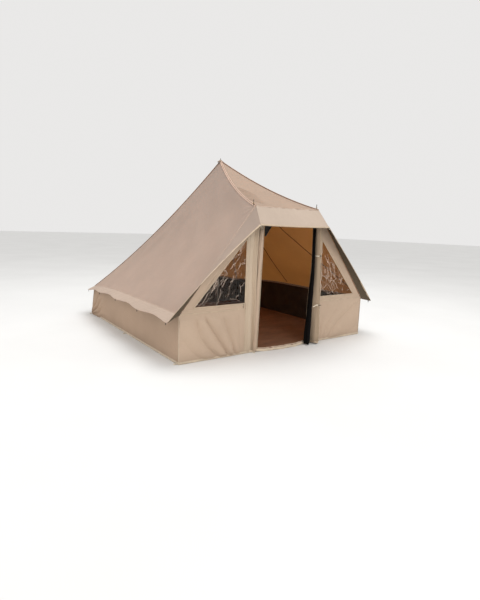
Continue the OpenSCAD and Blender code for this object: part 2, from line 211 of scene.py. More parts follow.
class Piece:
    """Gathers sheets, tapes and cords, and makes one object of them."""

    def __init__(self):
        self.points, self.uvs, self.faces, self.mats, self.count = [], [], [], [], 0

    def put(self, points, uvs):
        points = np.asarray(points, float).reshape(-1, 3)
        self.points.append(points)
        self.uvs.append(np.asarray(uvs, float).reshape(-1, 2))
        self.count += len(points)
        return self.count - len(points)

    def face(self, faces, mat):
        self.faces.append(np.asarray(faces, int))
        self.mats.append(np.full(len(faces), mat))

    def sheet(self, points, outside, thick=CLOTH, mats=(0, 1), relief=None):
        """A closed cloth from an (n, m, 3) grid of its outer face."""
        n, m = points.shape[:2]

        def normals(p):
            return unit(np.cross(np.gradient(p, axis=0), np.gradient(p, axis=1)))
        normal = normals(points)
        sign = 1 if (normal @ outside).mean() >= 0 else -1
        if relief is not None:
            points = points + sign * normal * relief[..., None]
            normal = normals(points)
        rows = np.linalg.norm(np.diff(points, axis=0), axis=-1)
        cols = np.linalg.norm(np.diff(points, axis=1), axis=-1)
        u = np.concatenate([np.zeros((1, m)), np.cumsum(rows, axis=0)])
        v = np.concatenate([np.zeros((n, 1)), np.cumsum(cols, axis=1)], axis=1)
        uv = np.stack([u, v], -1)
        front = self.put(points, uv)
        back = self.put(points - sign * normal * thick, uv)
        i = (np.arange(n - 1)[:, None] * m + np.arange(m - 1)).ravel()
        quads = np.stack([i, i + m, i + m + 1, i + 1], -1)
        a = np.concatenate([np.arange(m), np.arange(1, n) * m + m - 1,
                            (n - 1) * m + np.arange(m - 2, -1, -1), np.arange(n - 2, 0, -1) * m])
        b = np.roll(a, -1)
        rim = np.stack([front + a, front + b, back + b, back + a], -1)
        self.face((front + quads)[:, ::sign], mats[0])
        self.face((back + quads)[:, ::-sign], mats[1])
        self.face(rim[:, ::sign], mats[0])

    def skin(self, rings, mat=0, loop=False):
        """A tube through (n, k, 3) rings, closed at its ends unless it is a loop."""
        n, k = rings.shape[:2]
        mid = rings.mean(1)
        steps = np.linalg.norm(np.diff(mid, axis=0), axis=-1)
        v = np.concatenate([[0], np.cumsum(steps)])
        uv = np.stack(np.broadcast_arrays(np.arange(k)[None] / k, v[:, None]), -1)
        start = self.put(rings, uv)
        i, j = np.meshgrid(np.arange(n if loop else n - 1), np.arange(k), indexing="ij")
        i2, j2 = (i + 1) % n, (j + 1) % k
        quads = np.stack([i * k + j, i * k + j2, i2 * k + j2, i2 * k + j], -1).reshape(-1, 4)
        flat = rings.reshape(-1, 3)[quads[: k]]
        out = np.cross(flat[:, 1] - flat[:, 0], flat[:, 3] - flat[:, 0])
        sign = 1 if (out * (flat.mean(1) - mid[:2].mean(0))).sum() >= 0 else -1
        self.face((start + quads)[:, ::sign], mat)
        if not loop:
            self.face((start + np.arange(k)[None, ::-1])[:, ::sign], mat)
            self.face((start + (n - 1) * k + np.arange(k)[None])[:, ::sign], mat)

    def tape(self, path, normal, width, thick=0.0016, mat=0, lift=0.0, loop=False):
        """A flat tape that lies on a surface along path."""
        path = np.asarray(path, float)
        normal = np.broadcast_to(normal, path.shape)
        if loop:
            tangent = unit(np.roll(path, -1, 0) - np.roll(path, 1, 0))
        else:
            tangent = unit(np.gradient(path, axis=0))
        side = unit(np.cross(tangent, normal))
        up = unit(np.cross(side, tangent))
        shape = [(-0.5, 0), (-0.5, 0.6), (-0.45, 1), (0.45, 1), (0.5, 0.6), (0.5, 0)]
        across = np.array([s[0] for s in shape])[None, :, None]
        height = np.array([s[1] for s in shape])[None, :, None]
        width = np.broadcast_to(np.asarray(width, float), len(path))[:, None, None]
        self.skin(path[:, None] + side[:, None] * across * width
                  + up[:, None] * (height * thick + lift), mat, loop)

    def cord(self, path, radius, mat=0, sides=10, loop=False):
        path = np.asarray(path, float)
        if loop:
            tangent = unit(np.roll(path, -1, 0) - np.roll(path, 1, 0))
        else:
            tangent = unit(np.gradient(path, axis=0))
        guide = vec(0.31, 0.17, 0.93) if abs(tangent[:, 2]).mean() < 0.7 else vec(0.9, 0.4, 0.1)
        side = unit(np.cross(tangent, guide))
        up = np.cross(side, tangent)
        radius = np.broadcast_to(np.asarray(radius, float), len(path))[:, None, None]
        a = np.linspace(0, 2 * math.pi, sides, endpoint=False)[None, :, None]
        self.skin(path[:, None] + radius * (side[:, None] * np.cos(a) + up[:, None] * np.sin(a)), mat, loop)

    def make(self, name, materials, replaces=(), slot=None, body="tent", sharp=50):
        mesh = bpy.data.meshes.new(name)
        points, uvs = np.concatenate(self.points), np.concatenate(self.uvs)
        loops = np.concatenate([f.ravel() for f in self.faces])
        sizes = np.concatenate([np.full(len(f), f.shape[1]) for f in self.faces])
        mesh.vertices.add(len(points))
        mesh.vertices.foreach_set("co", points.astype(np.float32).ravel())
        mesh.loops.add(len(loops))
        mesh.loops.foreach_set("vertex_index", loops.astype(np.int32))
        mesh.polygons.add(len(sizes))
        starts = np.concatenate([[0], np.cumsum(sizes)[:-1]])
        mesh.polygons.foreach_set("loop_start", starts.astype(np.int32))
        mesh.polygons.foreach_set("material_index", np.concatenate(self.mats).astype(np.int32))
        layer = mesh.uv_layers.new(name="Cloth")
        layer.data.foreach_set("uv", uvs[loops].astype(np.float32).ravel())
        mesh.update(calc_edges=True)
        mesh.validate()
        mesh.shade_smooth()
        mesh.set_sharp_from_angle(angle=math.radians(sharp))
        for material in materials:
            mesh.materials.append(material)
        piece = bpy.data.objects.new(name, mesh)
        bpy.context.scene.collection.objects.link(piece)
        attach(piece, body)
        if replaces:
            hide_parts(*replaces)
        return piece


def cloth_piece(name, points, outside, materials, node, slot, thick=CLOTH, relief=None):
    """One sheet as an object. A second material is for its inner face."""
    piece = Piece()
    piece.sheet(points, outside, thick, (0, len(materials) - 1), relief)
    return piece.make(name, materials, [node], slot)

# ---- Materials ----

class Shader:
    """A node material. Sockets are set by name, from a value or from another node's output."""

    def __init__(self, name):
        self.material = bpy.data.materials.new(name)
        self.material.use_nodes = True
        self.tree = self.material.node_tree
        self.tree.nodes.clear()

    def add(self, kind, sockets=None, **settings):
        node = self.tree.nodes.new("ShaderNode" + kind)
        for key, value in settings.items():
            setattr(node, key, value)
        for key, value in (sockets or {}).items():
            if isinstance(value, bpy.types.NodeSocket):
                self.tree.links.new(value, node.inputs[key])
            else:
                node.inputs[key].default_value = value
        return node

    def where(self):
        return self.add("TexCoord").outputs["Object"]

    def cloth_uv(self, scale=(1, 1, 1)):
        uv = self.add("UVMap", uv_map="Cloth").outputs["UV"]
        return self.add("Mapping", {"Vector": uv, "Scale": scale}).outputs["Vector"]

    def noise(self, at, scale, detail=3.0, rough=0.5):
        sockets = {"Vector": at, "Scale": scale, "Detail": detail, "Roughness": rough}
        return self.add("TexNoise", sockets).outputs["Fac"]

    def ramp(self, fac, *stops):
        node = self.add("ValToRGB", {"Fac": fac})
        line = node.color_ramp
        while len(line.elements) < len(stops):
            line.elements.new(0.5)
        for element, (at, colour) in zip(line.elements, stops):
            element.position = at
            element.color = (*colour, 1)
        return node.outputs["Color"]

    def level(self, fac, low, high):
        return self.add("MapRange", {"Value": fac, "To Min": low, "To Max": high}).outputs["Result"]

    def span(self, fac, a, b, low, high):
        sockets = {"Value": fac, "From Min": a, "From Max": b, "To Min": low, "To Max": high}
        return self.add("MapRange", sockets).outputs["Result"]

    def math(self, how, a, b=0.5):
        return self.add("Math", {0: a, 1: b}, operation=how).outputs[0]

    def times(self, colour, factor):
        return self.add("VectorMath", {0: colour, 1: factor}, operation="MULTIPLY").outputs[0]

    def blend(self, fac, a, b):
        node = self.add("Mix", data_type="RGBA")
        for key, value in (("Factor_Float", fac), ("A_Color", a), ("B_Color", b)):
            socket = next(s for s in node.inputs if s.identifier == key)
            if isinstance(value, bpy.types.NodeSocket):
                self.tree.links.new(value, socket)
            else:
                socket.default_value = value
        return next(s for s in node.outputs if s.identifier == "Result_Color")

    def bump(self, height, depth, strength=1.0, under=None):
        sockets = {"Height": height, "Distance": depth, "Strength": strength}
        if under is not None:
            sockets["Normal"] = under
        return self.add("Bump", sockets).outputs["Normal"]

    def surface(self, **sockets):
        named = {key.replace("_", " "): value for key, value in sockets.items()}
        return self.add("BsdfPrincipled", named).outputs[0]

    def finish(self, shader):
        self.add("OutputMaterial", {"Surface": shader})
        return self.material


def srgb(text, factor=1.0):
    values = [int(text[i:i + 2], 16) / 255 for i in (1, 3, 5)]
    return tuple(factor * (v / 12.92 if v <= 0.04045 else ((v + 0.055) / 1.055) ** 2.4) for v in values)


def shade(colour, factor):
    return tuple(min(1.0, factor * c) for c in colour)


def weave(s, uv, pitch, depth, under=None):
    """Bump of warp and weft threads that far apart."""
    scale = math.pi / (10 * pitch)
    warp = s.add("TexWave", {"Vector": uv, "Scale": scale}, bands_direction="X").outputs["Fac"]
    weft = s.add("TexWave", {"Vector": uv, "Scale": scale}, bands_direction="Y").outputs["Fac"]
    return s.bump(s.math("MAXIMUM", warp, weft), depth, 0.6, under)


def canvas(name, colour, through=None, glow=0.0, soil=0.0, wrinkle=0.0012, height_tone=None):
    """Cotton canvas: woven, mottled, a little dirty near the ground, and it lets some light through."""
    s = Shader(name)
    at, uv = s.where(), s.cloth_uv()
    broad = s.noise(at, 1.7, 4, 0.55)
    fine = s.noise(at, 26, 4, 0.6)
    thread = s.noise(s.cloth_uv((900, 60, 1)), 1.0, 2)
    base = s.ramp(broad, (0.28, shade(colour, 0.93)), (0.72, shade(colour, 1.05)))
    base = s.blend(s.span(fine, 0.35, 0.75, 0.0, 0.22), base, (*shade(colour, 0.86), 1))
    base = s.blend(s.span(thread, 0.4, 0.7, 0.0, 0.12), base, (*shade(colour, 1.18), 1))
    # Tone by height: lighter and warmer low down, darker and cooler towards the top.
    if height_tone:
        height = s.add("SeparateXYZ", {"Vector": at}).outputs["Z"]
        uneven = s.math("ADD", height, s.level(s.noise(at, 1.1, 3), -0.25, 0.25))
        tone = s.ramp(s.span(uneven, 0.5, 2.5, 0.0, 1.0), (0.0, height_tone[0]), (1.0, height_tone[1]))
        base = s.times(base, tone)
    if soil:
        height = s.add("SeparateXYZ", {"Vector": at}).outputs["Z"]
        edge = s.math("ADD", height, s.level(s.noise(at, 9, 4), -0.05, 0.05))
        base = s.blend(s.span(edge, 0.0, 0.12, soil, 0.0), base, (*shade(colour, 0.55), 1))
    normal = weave(s, uv, 0.0016, 0.0005)
    normal = s.bump(s.noise(at, 34, 3, 0.6), wrinkle, 0.35, normal)
    rough = s.level(fine, 0.78, 0.95)
    shader = s.surface(Base_Color=base, Roughness=rough, Normal=normal, Specular_IOR_Level=0.18,
                       Sheen_Weight=0.22, Sheen_Roughness=0.45, Sheen_Tint=(*shade(colour, 1.3), 1))
    if glow:
        tint = s.ramp(broad, (0.25, shade(through, 0.9)), (0.75, shade(through, 1.08)))
        light = s.add("BsdfTranslucent", {"Color": tint, "Normal": normal}).outputs[0]
        shader = s.add("MixShader", {0: glow, 1: shader, 2: light}).outputs[0]
    return s.finish(shader)


def stitched(name, colour, pitch=0.006, rows=(0.14, 0.86), thread=1.45):
    """Webbing or a hem, with rows of stitches along it."""
    s = Shader(name)
    at = s.where()
    uv = s.add("UVMap", uv_map="Cloth").outputs["UV"]
    parts = s.add("SeparateXYZ", {"Vector": uv})
    across, along = parts.outputs["X"], parts.outputs["Y"]
    dash = s.math("LESS_THAN", s.math("FRACT", s.math("DIVIDE", along, pitch)), 0.62)
    lines = None
    for row in rows:
        line = s.math("LESS_THAN", s.math("ABSOLUTE", s.math("SUBTRACT", across, row * 0.667 + 0.083)), 0.02)
        lines = line if lines is None else s.math("MAXIMUM", lines, line)
    stitch = s.math("MULTIPLY", dash, lines)
    mottle = s.noise(at, 14, 5, 0.6)
    base = s.ramp(mottle, (0.3, shade(colour, 0.86)), (0.7, shade(colour, 1.06)))
    base = s.blend(stitch, base, (*shade(colour, thread), 1))
    ribs = s.add("TexWave", {"Vector": uv, "Scale": 150.0}, bands_direction="Y").outputs["Fac"]
    normal = s.bump(ribs, 0.0004, 0.6)
    normal = s.bump(stitch, 0.0008, 0.8, normal)
    return s.finish(s.surface(Base_Color=base, Roughness=s.level(mottle, 0.7, 0.9), Normal=normal,
                              Specular_IOR_Level=0.2, Sheen_Weight=0.2))


def dark_cloth(name, colour):
    s = Shader(name)
    at, uv = s.where(), s.cloth_uv()
    mottle = s.noise(at, 5, 5, 0.6)
    base = s.ramp(mottle, (0.3, shade(colour, 0.75)), (0.75, shade(colour, 1.4)))
    normal = weave(s, uv, 0.0022, 0.0006)
    normal = s.bump(s.noise(at, 22, 4, 0.6), 0.002, 0.5, normal)
    shader = s.surface(Base_Color=base, Roughness=s.level(mottle, 0.75, 0.92), Normal=normal,
                       Sheen_Weight=0.015, Specular_IOR_Level=0.12)
    return s.finish(shader)


def film(name):
    """Clear window film: it shows mostly along its creases, where a pale opaque colour is painted in as
    their highlight.
    """
    s = Shader(name)
    at = s.where()
    crease = s.add("Attribute", attribute_name="crinkle").outputs["Fac"]
    grain = s.noise(at, 90, 3, 0.6)
    # Painted highlight: along the creases a pale diffuse colour is mixed in, in place of reflected light.
    painted_glint = s.math("MULTIPLY", s.span(crease, 0.15, 0.75, 0.0, 1.0), s.span(grain, 0.3, 0.5, 0.55, 1.0))
    normal = s.bump(s.noise(at, 14, 3, 0.5), 0.004, 0.4)
    tint = s.ramp(grain, (0.3, (0.68, 0.50, 0.38)), (0.7, (0.88, 0.72, 0.60)))
    painted_glint_surface = s.surface(Base_Color=tint, Roughness=0.4, Normal=normal, Specular_IOR_Level=0.6)
    polish = {"Color": (0.9, 0.88, 0.84, 1), "Roughness": 0.10, "Normal": normal}
    gloss = s.add("BsdfGlossy", polish).outputs[0]
    clear = s.add("BsdfTransparent", {"Color": (0.93, 0.91, 0.88, 1)}).outputs[0]
    pane = s.add("MixShader", {0: 0.014, 1: clear, 2: gloss}).outputs[0]
    return s.finish(s.add("MixShader", {0: s.math("MULTIPLY", painted_glint, 0.7), 1: pane, 2: painted_glint_surface}).outputs[0])


def metal(name, colour, rough=0.35, scale=60.0):
    s = Shader(name)
    at = s.where()
    wear = s.noise(at, scale, 5, 0.65)
    brush = s.noise(s.add("Mapping", {"Vector": at, "Scale": (500, 500, 8)}).outputs["Vector"], 1.0, 2)
    base = s.ramp(wear, (0.35, shade(colour, 0.75)), (0.7, shade(colour, 1.08)))
    uneven = s.span(wear, 0.2, 0.8, rough, rough + 0.25)
    return s.finish(s.surface(Base_Color=base, Metallic=1.0, Roughness=uneven,
                              Normal=s.bump(brush, 0.0002, 0.4)))


def plastic(name, colour, rough=0.5, depth=0.0006):
    s = Shader(name)
    at = s.where()
    grain = s.noise(at, 120, 4, 0.6)
    base = s.ramp(s.noise(at, 30, 4), (0.3, shade(colour, 0.8)), (0.7, shade(colour, 1.15)))
    return s.finish(s.surface(Base_Color=base, Roughness=s.level(grain, rough - 0.1, rough + 0.15),
                              Normal=s.bump(grain, depth, 0.5)))


def zip_tape(name, colour):
    """Zip tape and coil: fine teeth across it."""
    s = Shader(name)
    at = s.where()
    teeth = s.add("TexWave", {"Vector": at, "Scale": 125.0}, bands_direction="Z").outputs["Fac"]
    base = s.ramp(teeth, (0.2, shade(colour, 0.5)), (0.8, shade(colour, 1.2)))
    return s.finish(s.surface(Base_Color=base, Roughness=s.level(s.noise(at, 40), 0.4, 0.7),
                              Normal=s.bump(teeth, 0.0006, 0.8)))


def woven_floor(name, colour):
    """Groundsheet: coated weave, creased and scuffed."""
    s = Shader(name)
    at = s.where()
    broad = s.noise(s.add("Mapping", {"Vector": at, "Scale": (0.6, 2.2, 1)}).outputs["Vector"], 2.4, 5, 0.6)
    scuff = s.noise(at, 40, 5, 0.7)
    base = s.ramp(broad, (0.3, shade(colour, 0.8)), (0.5, colour), (0.75, shade(colour, 1.3)))
    base = s.blend(s.span(scuff, 0.55, 0.8, 0.0, 0.25), base, (*shade(colour, 1.8), 1))
    normal = weave(s, s.cloth_uv(), 0.004, 0.0005)
    normal = s.bump(broad, 0.02, 0.4, normal)
    return s.finish(s.surface(Base_Color=base, Roughness=s.level(scuff, 0.42, 0.7), Normal=normal,
                              Specular_IOR_Level=0.4))


ROOF = srgb("#c1aea0")
FRONT = srgb("#c6ae98")
WARM = srgb("#e0b67c")

M_ROOF = canvas("roof_canvas", ROOF, WARM, 0.30, height_tone=((1.14, 1.10, 1.08), (0.80, 0.82, 0.84)))
M_CROWN = canvas("crown_canvas", srgb("#bba694"), WARM, 0.30)
# Inner face of the roof: the same canvas, coloured warm orange as a painted glow of the light through it, on
# top of its real translucency.
M_CEILING_PAINTED_GLOW = canvas("ceiling_painted_glow", srgb("#b48b66"), srgb("#fbcf9c"), 0.5)
M_HOOD = canvas("hood_canvas", srgb("#c3b1a1"), WARM, 0.06)
# Inner faces of the hood and valances: the same canvas as outside, coloured dark brown as painted shade.
M_UNDERSIDE_PAINTED_SHADE = canvas("underside_painted_shade", srgb("#5d5142"))
M_VALANCE = canvas("valance_canvas", srgb("#b7a495"))
M_WALL = canvas("wall_canvas", srgb("#b79d87"), soil=0.35)
M_FRONT = canvas("front_canvas", FRONT, soil=0.3)
M_JAMB = canvas("jamb_canvas", srgb("#cbb7a0"), soil=0.3)
M_LINING = dark_cloth("black_lining", srgb("#4a4038"))
M_MESH = dark_cloth("mesh_cloth", srgb("#070504"))
M_HEM = stitched("hem_tape", srgb("#c9b49b"))
M_BASE = stitched("base_hem_tape", srgb("#d6c4ac"))
M_SEAM = stitched("seam_tape", srgb("#b89f8c"), thread=1.2)
M_DARK_SEAM = stitched("inner_seam_tape", srgb("#5a3216"), thread=1.3)
M_PIPING = stitched("piping", srgb("#cbab98"))
M_WEBBING = stitched("webbing", srgb("#e3d6c0"))
# Dark strap cloth; it also colours the black sheet painted in as shadow in the doorway's corner.
M_STRAP_AND_SHADOW = stitched("dark_strap_and_painted_shadow", srgb("#1d1916"))
M_FILM = film("window_film")
M_FLOOR_SHEET = woven_floor("groundsheet_cloth", srgb("#936d56"))
M_STEEL = metal("pole_steel", srgb("#8f8c86"), 0.45)
M_PIN = metal("pin_steel", srgb("#5c5853"), 0.45)
M_BRASS = metal("brass", srgb("#b6975a"), 0.3)
M_ZIP_METAL = metal("zip_metal", srgb("#8a8780"), 0.3, 200)
M_ZIP_TAPE = zip_tape("zip_tape", srgb("#bda98f"))
M_RUBBER = plastic("rubber", srgb("#26221f"), 0.6)
M_TOGGLE = plastic("toggle_wood", srgb("#5e4631"), 0.45)
M_CAP = canvas("cap_cloth", srgb("#8d7c6e"))
M_ROLL = canvas("rolled_canvas", srgb("#a8937c"), soil=0.3, wrinkle=0.003)
M_WELT = stitched("floor_welt", srgb("#8a5a3c"))
M_SILL = canvas("sill_cloth", srgb("#a88a78"), soil=0.2)


# ---- Roof ----

def side_and_mirror(build):
    """Runs build for the left side and again for its mirror image."""
    for name, flip in (("left", lambda p: p), ("right", mirrored)):
        build(name, flip)


def border(*distances, reach=0.05):
    """0 on the borders and 1 further in than reach."""
    total = 1.0
    for d in distances:
        total = total * smooth(d, 0, reach)
    return total


def roof_side_relief(t, s, seed):
    long = 1.85 + 1.35 * s
    tall = 1.62 + 0.95 * t
    along, down = t * long, s * tall
    ray = np.arctan2(down, (1 - t) * long + 0.01)
    far = np.hypot(down, (1 - t) * long)
    folds = np.sin(26 * ray + 1.2 * ripple(along, down, seed, 0.6, 1.6)) * smooth(far, 0.25, 1.1)
    relief = 0.0030 * folds + 0.0034 * ripple(along, down, seed + 40, 0.25, 0.9) - 0.026 * bow(t) * bow(s)
    relief = relief * border(along, (0.992 - t) * long, down, (1 - s) * tall, reach=0.12)
    spokes = np.sin(np.arctan2(down, along + 0.004) * 15 + 1) * hump(np.hypot(along, down), 0.13, 0.12)
    relief = relief + 0.0035 * spokes * border(along, down, reach=0.04)
    relief = relief + pucker(along, down, seed + 3, 0.07, 0.0016, 0.06)
    relief = relief + pucker(along, (1 - s) * tall, seed + 4, 0.085, 0.0022, 0.07)
    return relief + pucker(down, along, seed + 5, 0.09, 0.0016, 0.05)


def straight_to(foot, s):
    """The t at each s that keeps a seam on the plan line from the apex to foot."""
    t = np.linspace(0, 1, 500)
    rows = roof_side_point(*np.meshgrid(t, s))
    off = np.abs(rows[..., 1] * foot[0] - rows[..., 0] * foot[1])
    return smoothed(t[off.argmin(1)])


def smoothed(values):
    padded = np.pad(values, 6, mode="reflect", reflect_type="odd")
    return np.convolve(padded, np.ones(13) / 13, "valid")


def roof_side(name, flip):
    seed = 11 if name == "left" else 12
    t, s = grid(150, 116)
    t = t * 0.992
    cloth = cloth_piece("roof_%s_cloth" % name, flip(roof_side_point(t, s)), flip(vec(-1, 0, 0.8)),
                        [M_ROOF, M_CEILING_PAINTED_GLOW], "roof_" + name, "roof_canvas",
                        relief=roof_side_relief(t, s, seed))
    trim = Piece()
    q = np.linspace(0.03, 0.975, 160)
    for foot in (vec(-HALF_W, 0, 0), EAVE_FRONT):
        tq = straight_to(foot, q)
        line = roof_side_point(tq, q)
        step_t = roof_side_point(tq - 0.01, q) - line
        step_s = roof_side_point(tq, q + 0.01) - line
        up = unit(np.cross(step_s, step_t))
        up = up * np.sign((up @ vec(-1, 0, 0.8)).mean())
        sink = roof_side_relief(tq, q, seed) - CLOTH
        trim.tape(flip(line + up * sink[:, None]), flip(-up), 0.017, 0.0022, 0, 0.0006)
    seams = trim.make("roof_%s_seams" % name, [M_DARK_SEAM], slot="roof_canvas")


# Start and end of each pleat: across from the middle of the front roof, and up from its ridge
CROWN_PLEATS = [((-0.240, 0.880), (-0.110, 0.560)), ((-0.262, 0.800), (-0.130, 0.480)),
                ((-0.284, 0.720), (-0.150, 0.400)), ((-0.306, 0.640), (-0.172, 0.320)),
                ((-0.328, 0.560), (-0.196, 0.250)), ((-0.350, 0.480), (-0.225, 0.190)),
                ((-0.372, 0.400), (-0.262, 0.140))]


def pleat(x, y, start, end):
    """A small fold of cloth with a sharp valley below it, that fades towards its end."""
    way = end - start
    length = np.linalg.norm(way)
    way = way / length
    along = (x - start[0]) * way[0] + (y - start[1]) * way[1]
    side = (x - start[0]) * way[1] - (y - start[1]) * way[0]
    fade = smooth(along, -0.03, 0.06) * (1 - smooth(along, 0.55 * length, 1.2 * length))
    return 0.012 * fade * (hump(side, 0, 0.013) - 0.8 * hump(side, 0.022, 0.010))


def roof_front():
    t, w = grid(150, 110)
    t = t * 0.985
    left = front_hip(t)
    points = mix(left, mirrored(left), w)
    half = 0.517 * (1 - t)
    x = (2 * w - 1) * half
    up = t * 1.84
    relief = 0.003 * ripple(x, up, 31, 0.12, 0.5)
    relief = relief * border(w * 2 * half + 0.001, (1 - w) * 2 * half + 0.001, up, reach=0.06)
    for start, end in CROWN_PLEATS:
        relief = relief + pleat(x, up, vec(*start), vec(*end))
    for side in (w, 1 - w):
        away = side * 2 * half
        low = 1 - smooth(up, 0.1, 0.75)
        relief = relief + pucker(up, away, 33, 0.045, 0.0042, 0.045) * low * smooth(away, 0.0, 0.012)
    relief = relief + pucker(x, up, 35, 0.08, 0.002, 0.05) * smooth(up, 0, 0.02)
    cloth = cloth_piece("roof_front_cloth", points, vec(0, -0.4, 1),
                        [M_CROWN, M_CEILING_PAINTED_GLOW], "roof_front", "roof_canvas", relief=relief)


def roof_back():
    t, s = grid(130, 96)
    s = 0.012 + 0.988 * s
    points = roof_back_point(t, s)
    wide = 0.03 + 2.95 * s
    down = s * 2.62
    folds = np.sin(18 * (t - 0.5) + ripple(t * wide, down, 51, 0.6, 1.6)) * smooth(s, 0.2, 0.6)
    relief = 0.003 * folds + 0.0035 * ripple(t * wide, down, 52, 0.25, 0.9) - 0.02 * bow(t) * bow(s)
    relief = relief * border(t * wide, (1 - t) * wide, down, 2.62 - down, reach=0.12)
    relief = relief + pucker(t * wide, 2.62 - down, 53, 0.085, 0.0022, 0.07)
    cloth = cloth_piece("roof_back_cloth", points, vec(0, 0.7, 1),
                        [M_ROOF, M_CEILING_PAINTED_GLOW], "roof_back", "roof_canvas", relief=relief)


def roof_trim():
    """Piping on the four hips, and the tapes over the gable, ridge and eave seams."""
    trim = Piece()
    t = np.linspace(0, 0.985, 80)
    for flip in (lambda p: p, mirrored):
        hip = flip(front_hip(t))
        out = unit(flip(np.broadcast_to(vec(-0.9, -0.25, 0.75), hip.shape)))
        side = unit(np.cross(np.gradient(hip, axis=0), out))
        for off in (-0.010, 0.010):
            trim.cord(hip + side * off + out * 0.0022, 0.0042, 0, 8)
        trim.tape(hip, out, 0.034, 0.0016, 1)
        back = flip(back_hip(0.012 + 0.985 * np.linspace(0, 1, 80)))
        up = unit(flip(np.broadcast_to(vec(-0.55, 0.55, 0.85), back.shape)))
        trim.cord(back + up * 0.002, 0.0042, 0, 8)
        trim.tape(back, up, 0.03, 0.0016, 1)
        edge = flip(gable_edge(np.linspace(0.005, 0.995, 60)))
        trim.tape(edge, unit(flip(vec(-0.75, -0.25, 0.62))), 0.012, 0.0016, 1)
        low = flip(eave(np.linspace(0.004, 0.996, 110)))
        trim.tape(low, unit(flip(vec(-0.72, 0, 0.7))), 0.016, 0.0018, 1)
    back_low = back_eave(np.linspace(0.006, 0.994, 100))
    trim.tape(back_low, unit(vec(0, 0.7, 0.72)), 0.016, 0.0018, 1)
    x = np.linspace(-POLE_X + 0.012, POLE_X - 0.012, 60)
    sag = -0.004 * np.cos(x / POLE_X * math.pi / 2)
    ridge = xyz(x, -HALF_D, RIDGE[2] + sag + 0.0015 * np.sin(x * 34))
    trim.tape(ridge, unit(vec(0, -0.75, 0.7)), 0.014, 0.0022, 1)
    trim.make("roof_piping", [M_PIPING, M_SEAM], slot="roof_canvas")


def apex_cap():
    """A small cloth cone over the top of the canvas, pleated at its hem."""
    cap = Piece()
    a, r = grid(73, 14)
    a = a * 2 * math.pi
    radius = 0.007 + 0.039 * r
    waves = 0.0022 * np.sin(9 * a + 0.7) * r * r + 0.0012 * np.sin(23 * a) * r ** 3
    height = APEX[2] + 0.0145 - 0.0035 * r - 0.031 * r ** 1.35 + waves
    points = xyz(radius * np.cos(a), radius * np.sin(a), height)
    cap.sheet(points, vec(0, 0, 1), 0.0026, (0, 0))
    angle = np.linspace(0, 2 * math.pi, 60, endpoint=False)
    ring = xyz(0.0425 * np.cos(angle), 0.0425 * np.sin(angle), APEX[2] - 0.0135)
    out = unit(xyz(0.6 * np.cos(angle), 0.6 * np.sin(angle), 0.8))
    cap.tape(ring, out, 0.008, 0.0014, 1, 0.0006, loop=True)
    cap.make("apex_cap_cloth", [M_CAP, M_SEAM], ["apex_cap"], "cap")


# ---- Hood and valances ----

def hood():
    w, s = grid(96, 26)
    x = (2 * w - 1)
    top = xyz(x * (POLE_X - 0.002), -HALF_D - 0.002, RIDGE[2] - 0.004 * np.cos(x * math.pi / 2))
    low = xyz(x * 0.56, -1.77 + 0.004 * (1 - x * x), 1.553 - 0.006 * (1 - x * x))
    points = mix(top, low, s)
    across, down = (w - 0.5) * 1.07, s * 0.28
    edge = np.minimum(w, 1 - w) * 1.07
    relief = 0.0022 * ripple(across, down * 0.5, 61, 0.08, 0.4, 0.0, 1.2)
    relief = relief + 0.0035 * np.sin(edge * 150) * np.exp(-edge / 0.05) * smooth(down, 0, 0.05)
    relief = relief * smooth(edge, 0, 0.012)
    piece = Piece()
    piece.sheet(points, vec(0, -1, 0.6), mats=(0, 1), relief=relief)
    hem = Piece()
    line = np.linspace(0, 1, 90)
    foot = xyz((2 * line - 1) * 0.556, -1.771, 1.553 + 0.007 - 0.006 * bow(line))
    hem.tape(foot, unit(vec(0, -1, 0.4)), 0.016, 0.0022, 0, 0.0006)
    hem.cord(foot - vec(0, 0, 0.0075), 0.0032, 0, 8)
    for side in (-1, 1):
        hem.cord(loop_points(vec(side * 0.560, -1.772, 1.552), 0.014, 0.020), 0.0018, 1, 8, loop=True)
    front = piece.make("hood_front_cloth", [M_HOOD, M_UNDERSIDE_PAINTED_SHADE], ["hood_front"], "roof_canvas")
    trim = hem.make("hood_front_hem", [M_HEM, M_WEBBING], slot="webbing")
    side_and_mirror(hood_side)


def loop_points(top, half_width, length, count=26, along=(1, 0, 0)):
    """A hanging loop, as points round it."""
    a = np.linspace(0, 2 * math.pi, count, endpoint=False)
    wide = half_width * np.sin(a) * (0.62 + 0.38 * np.sin(a / 2) ** 2)
    drop = -length * np.sin(a / 2) ** 2
    return top + wide[:, None] * np.array(along, float) + drop[:, None] * vec(0, 0, 1)


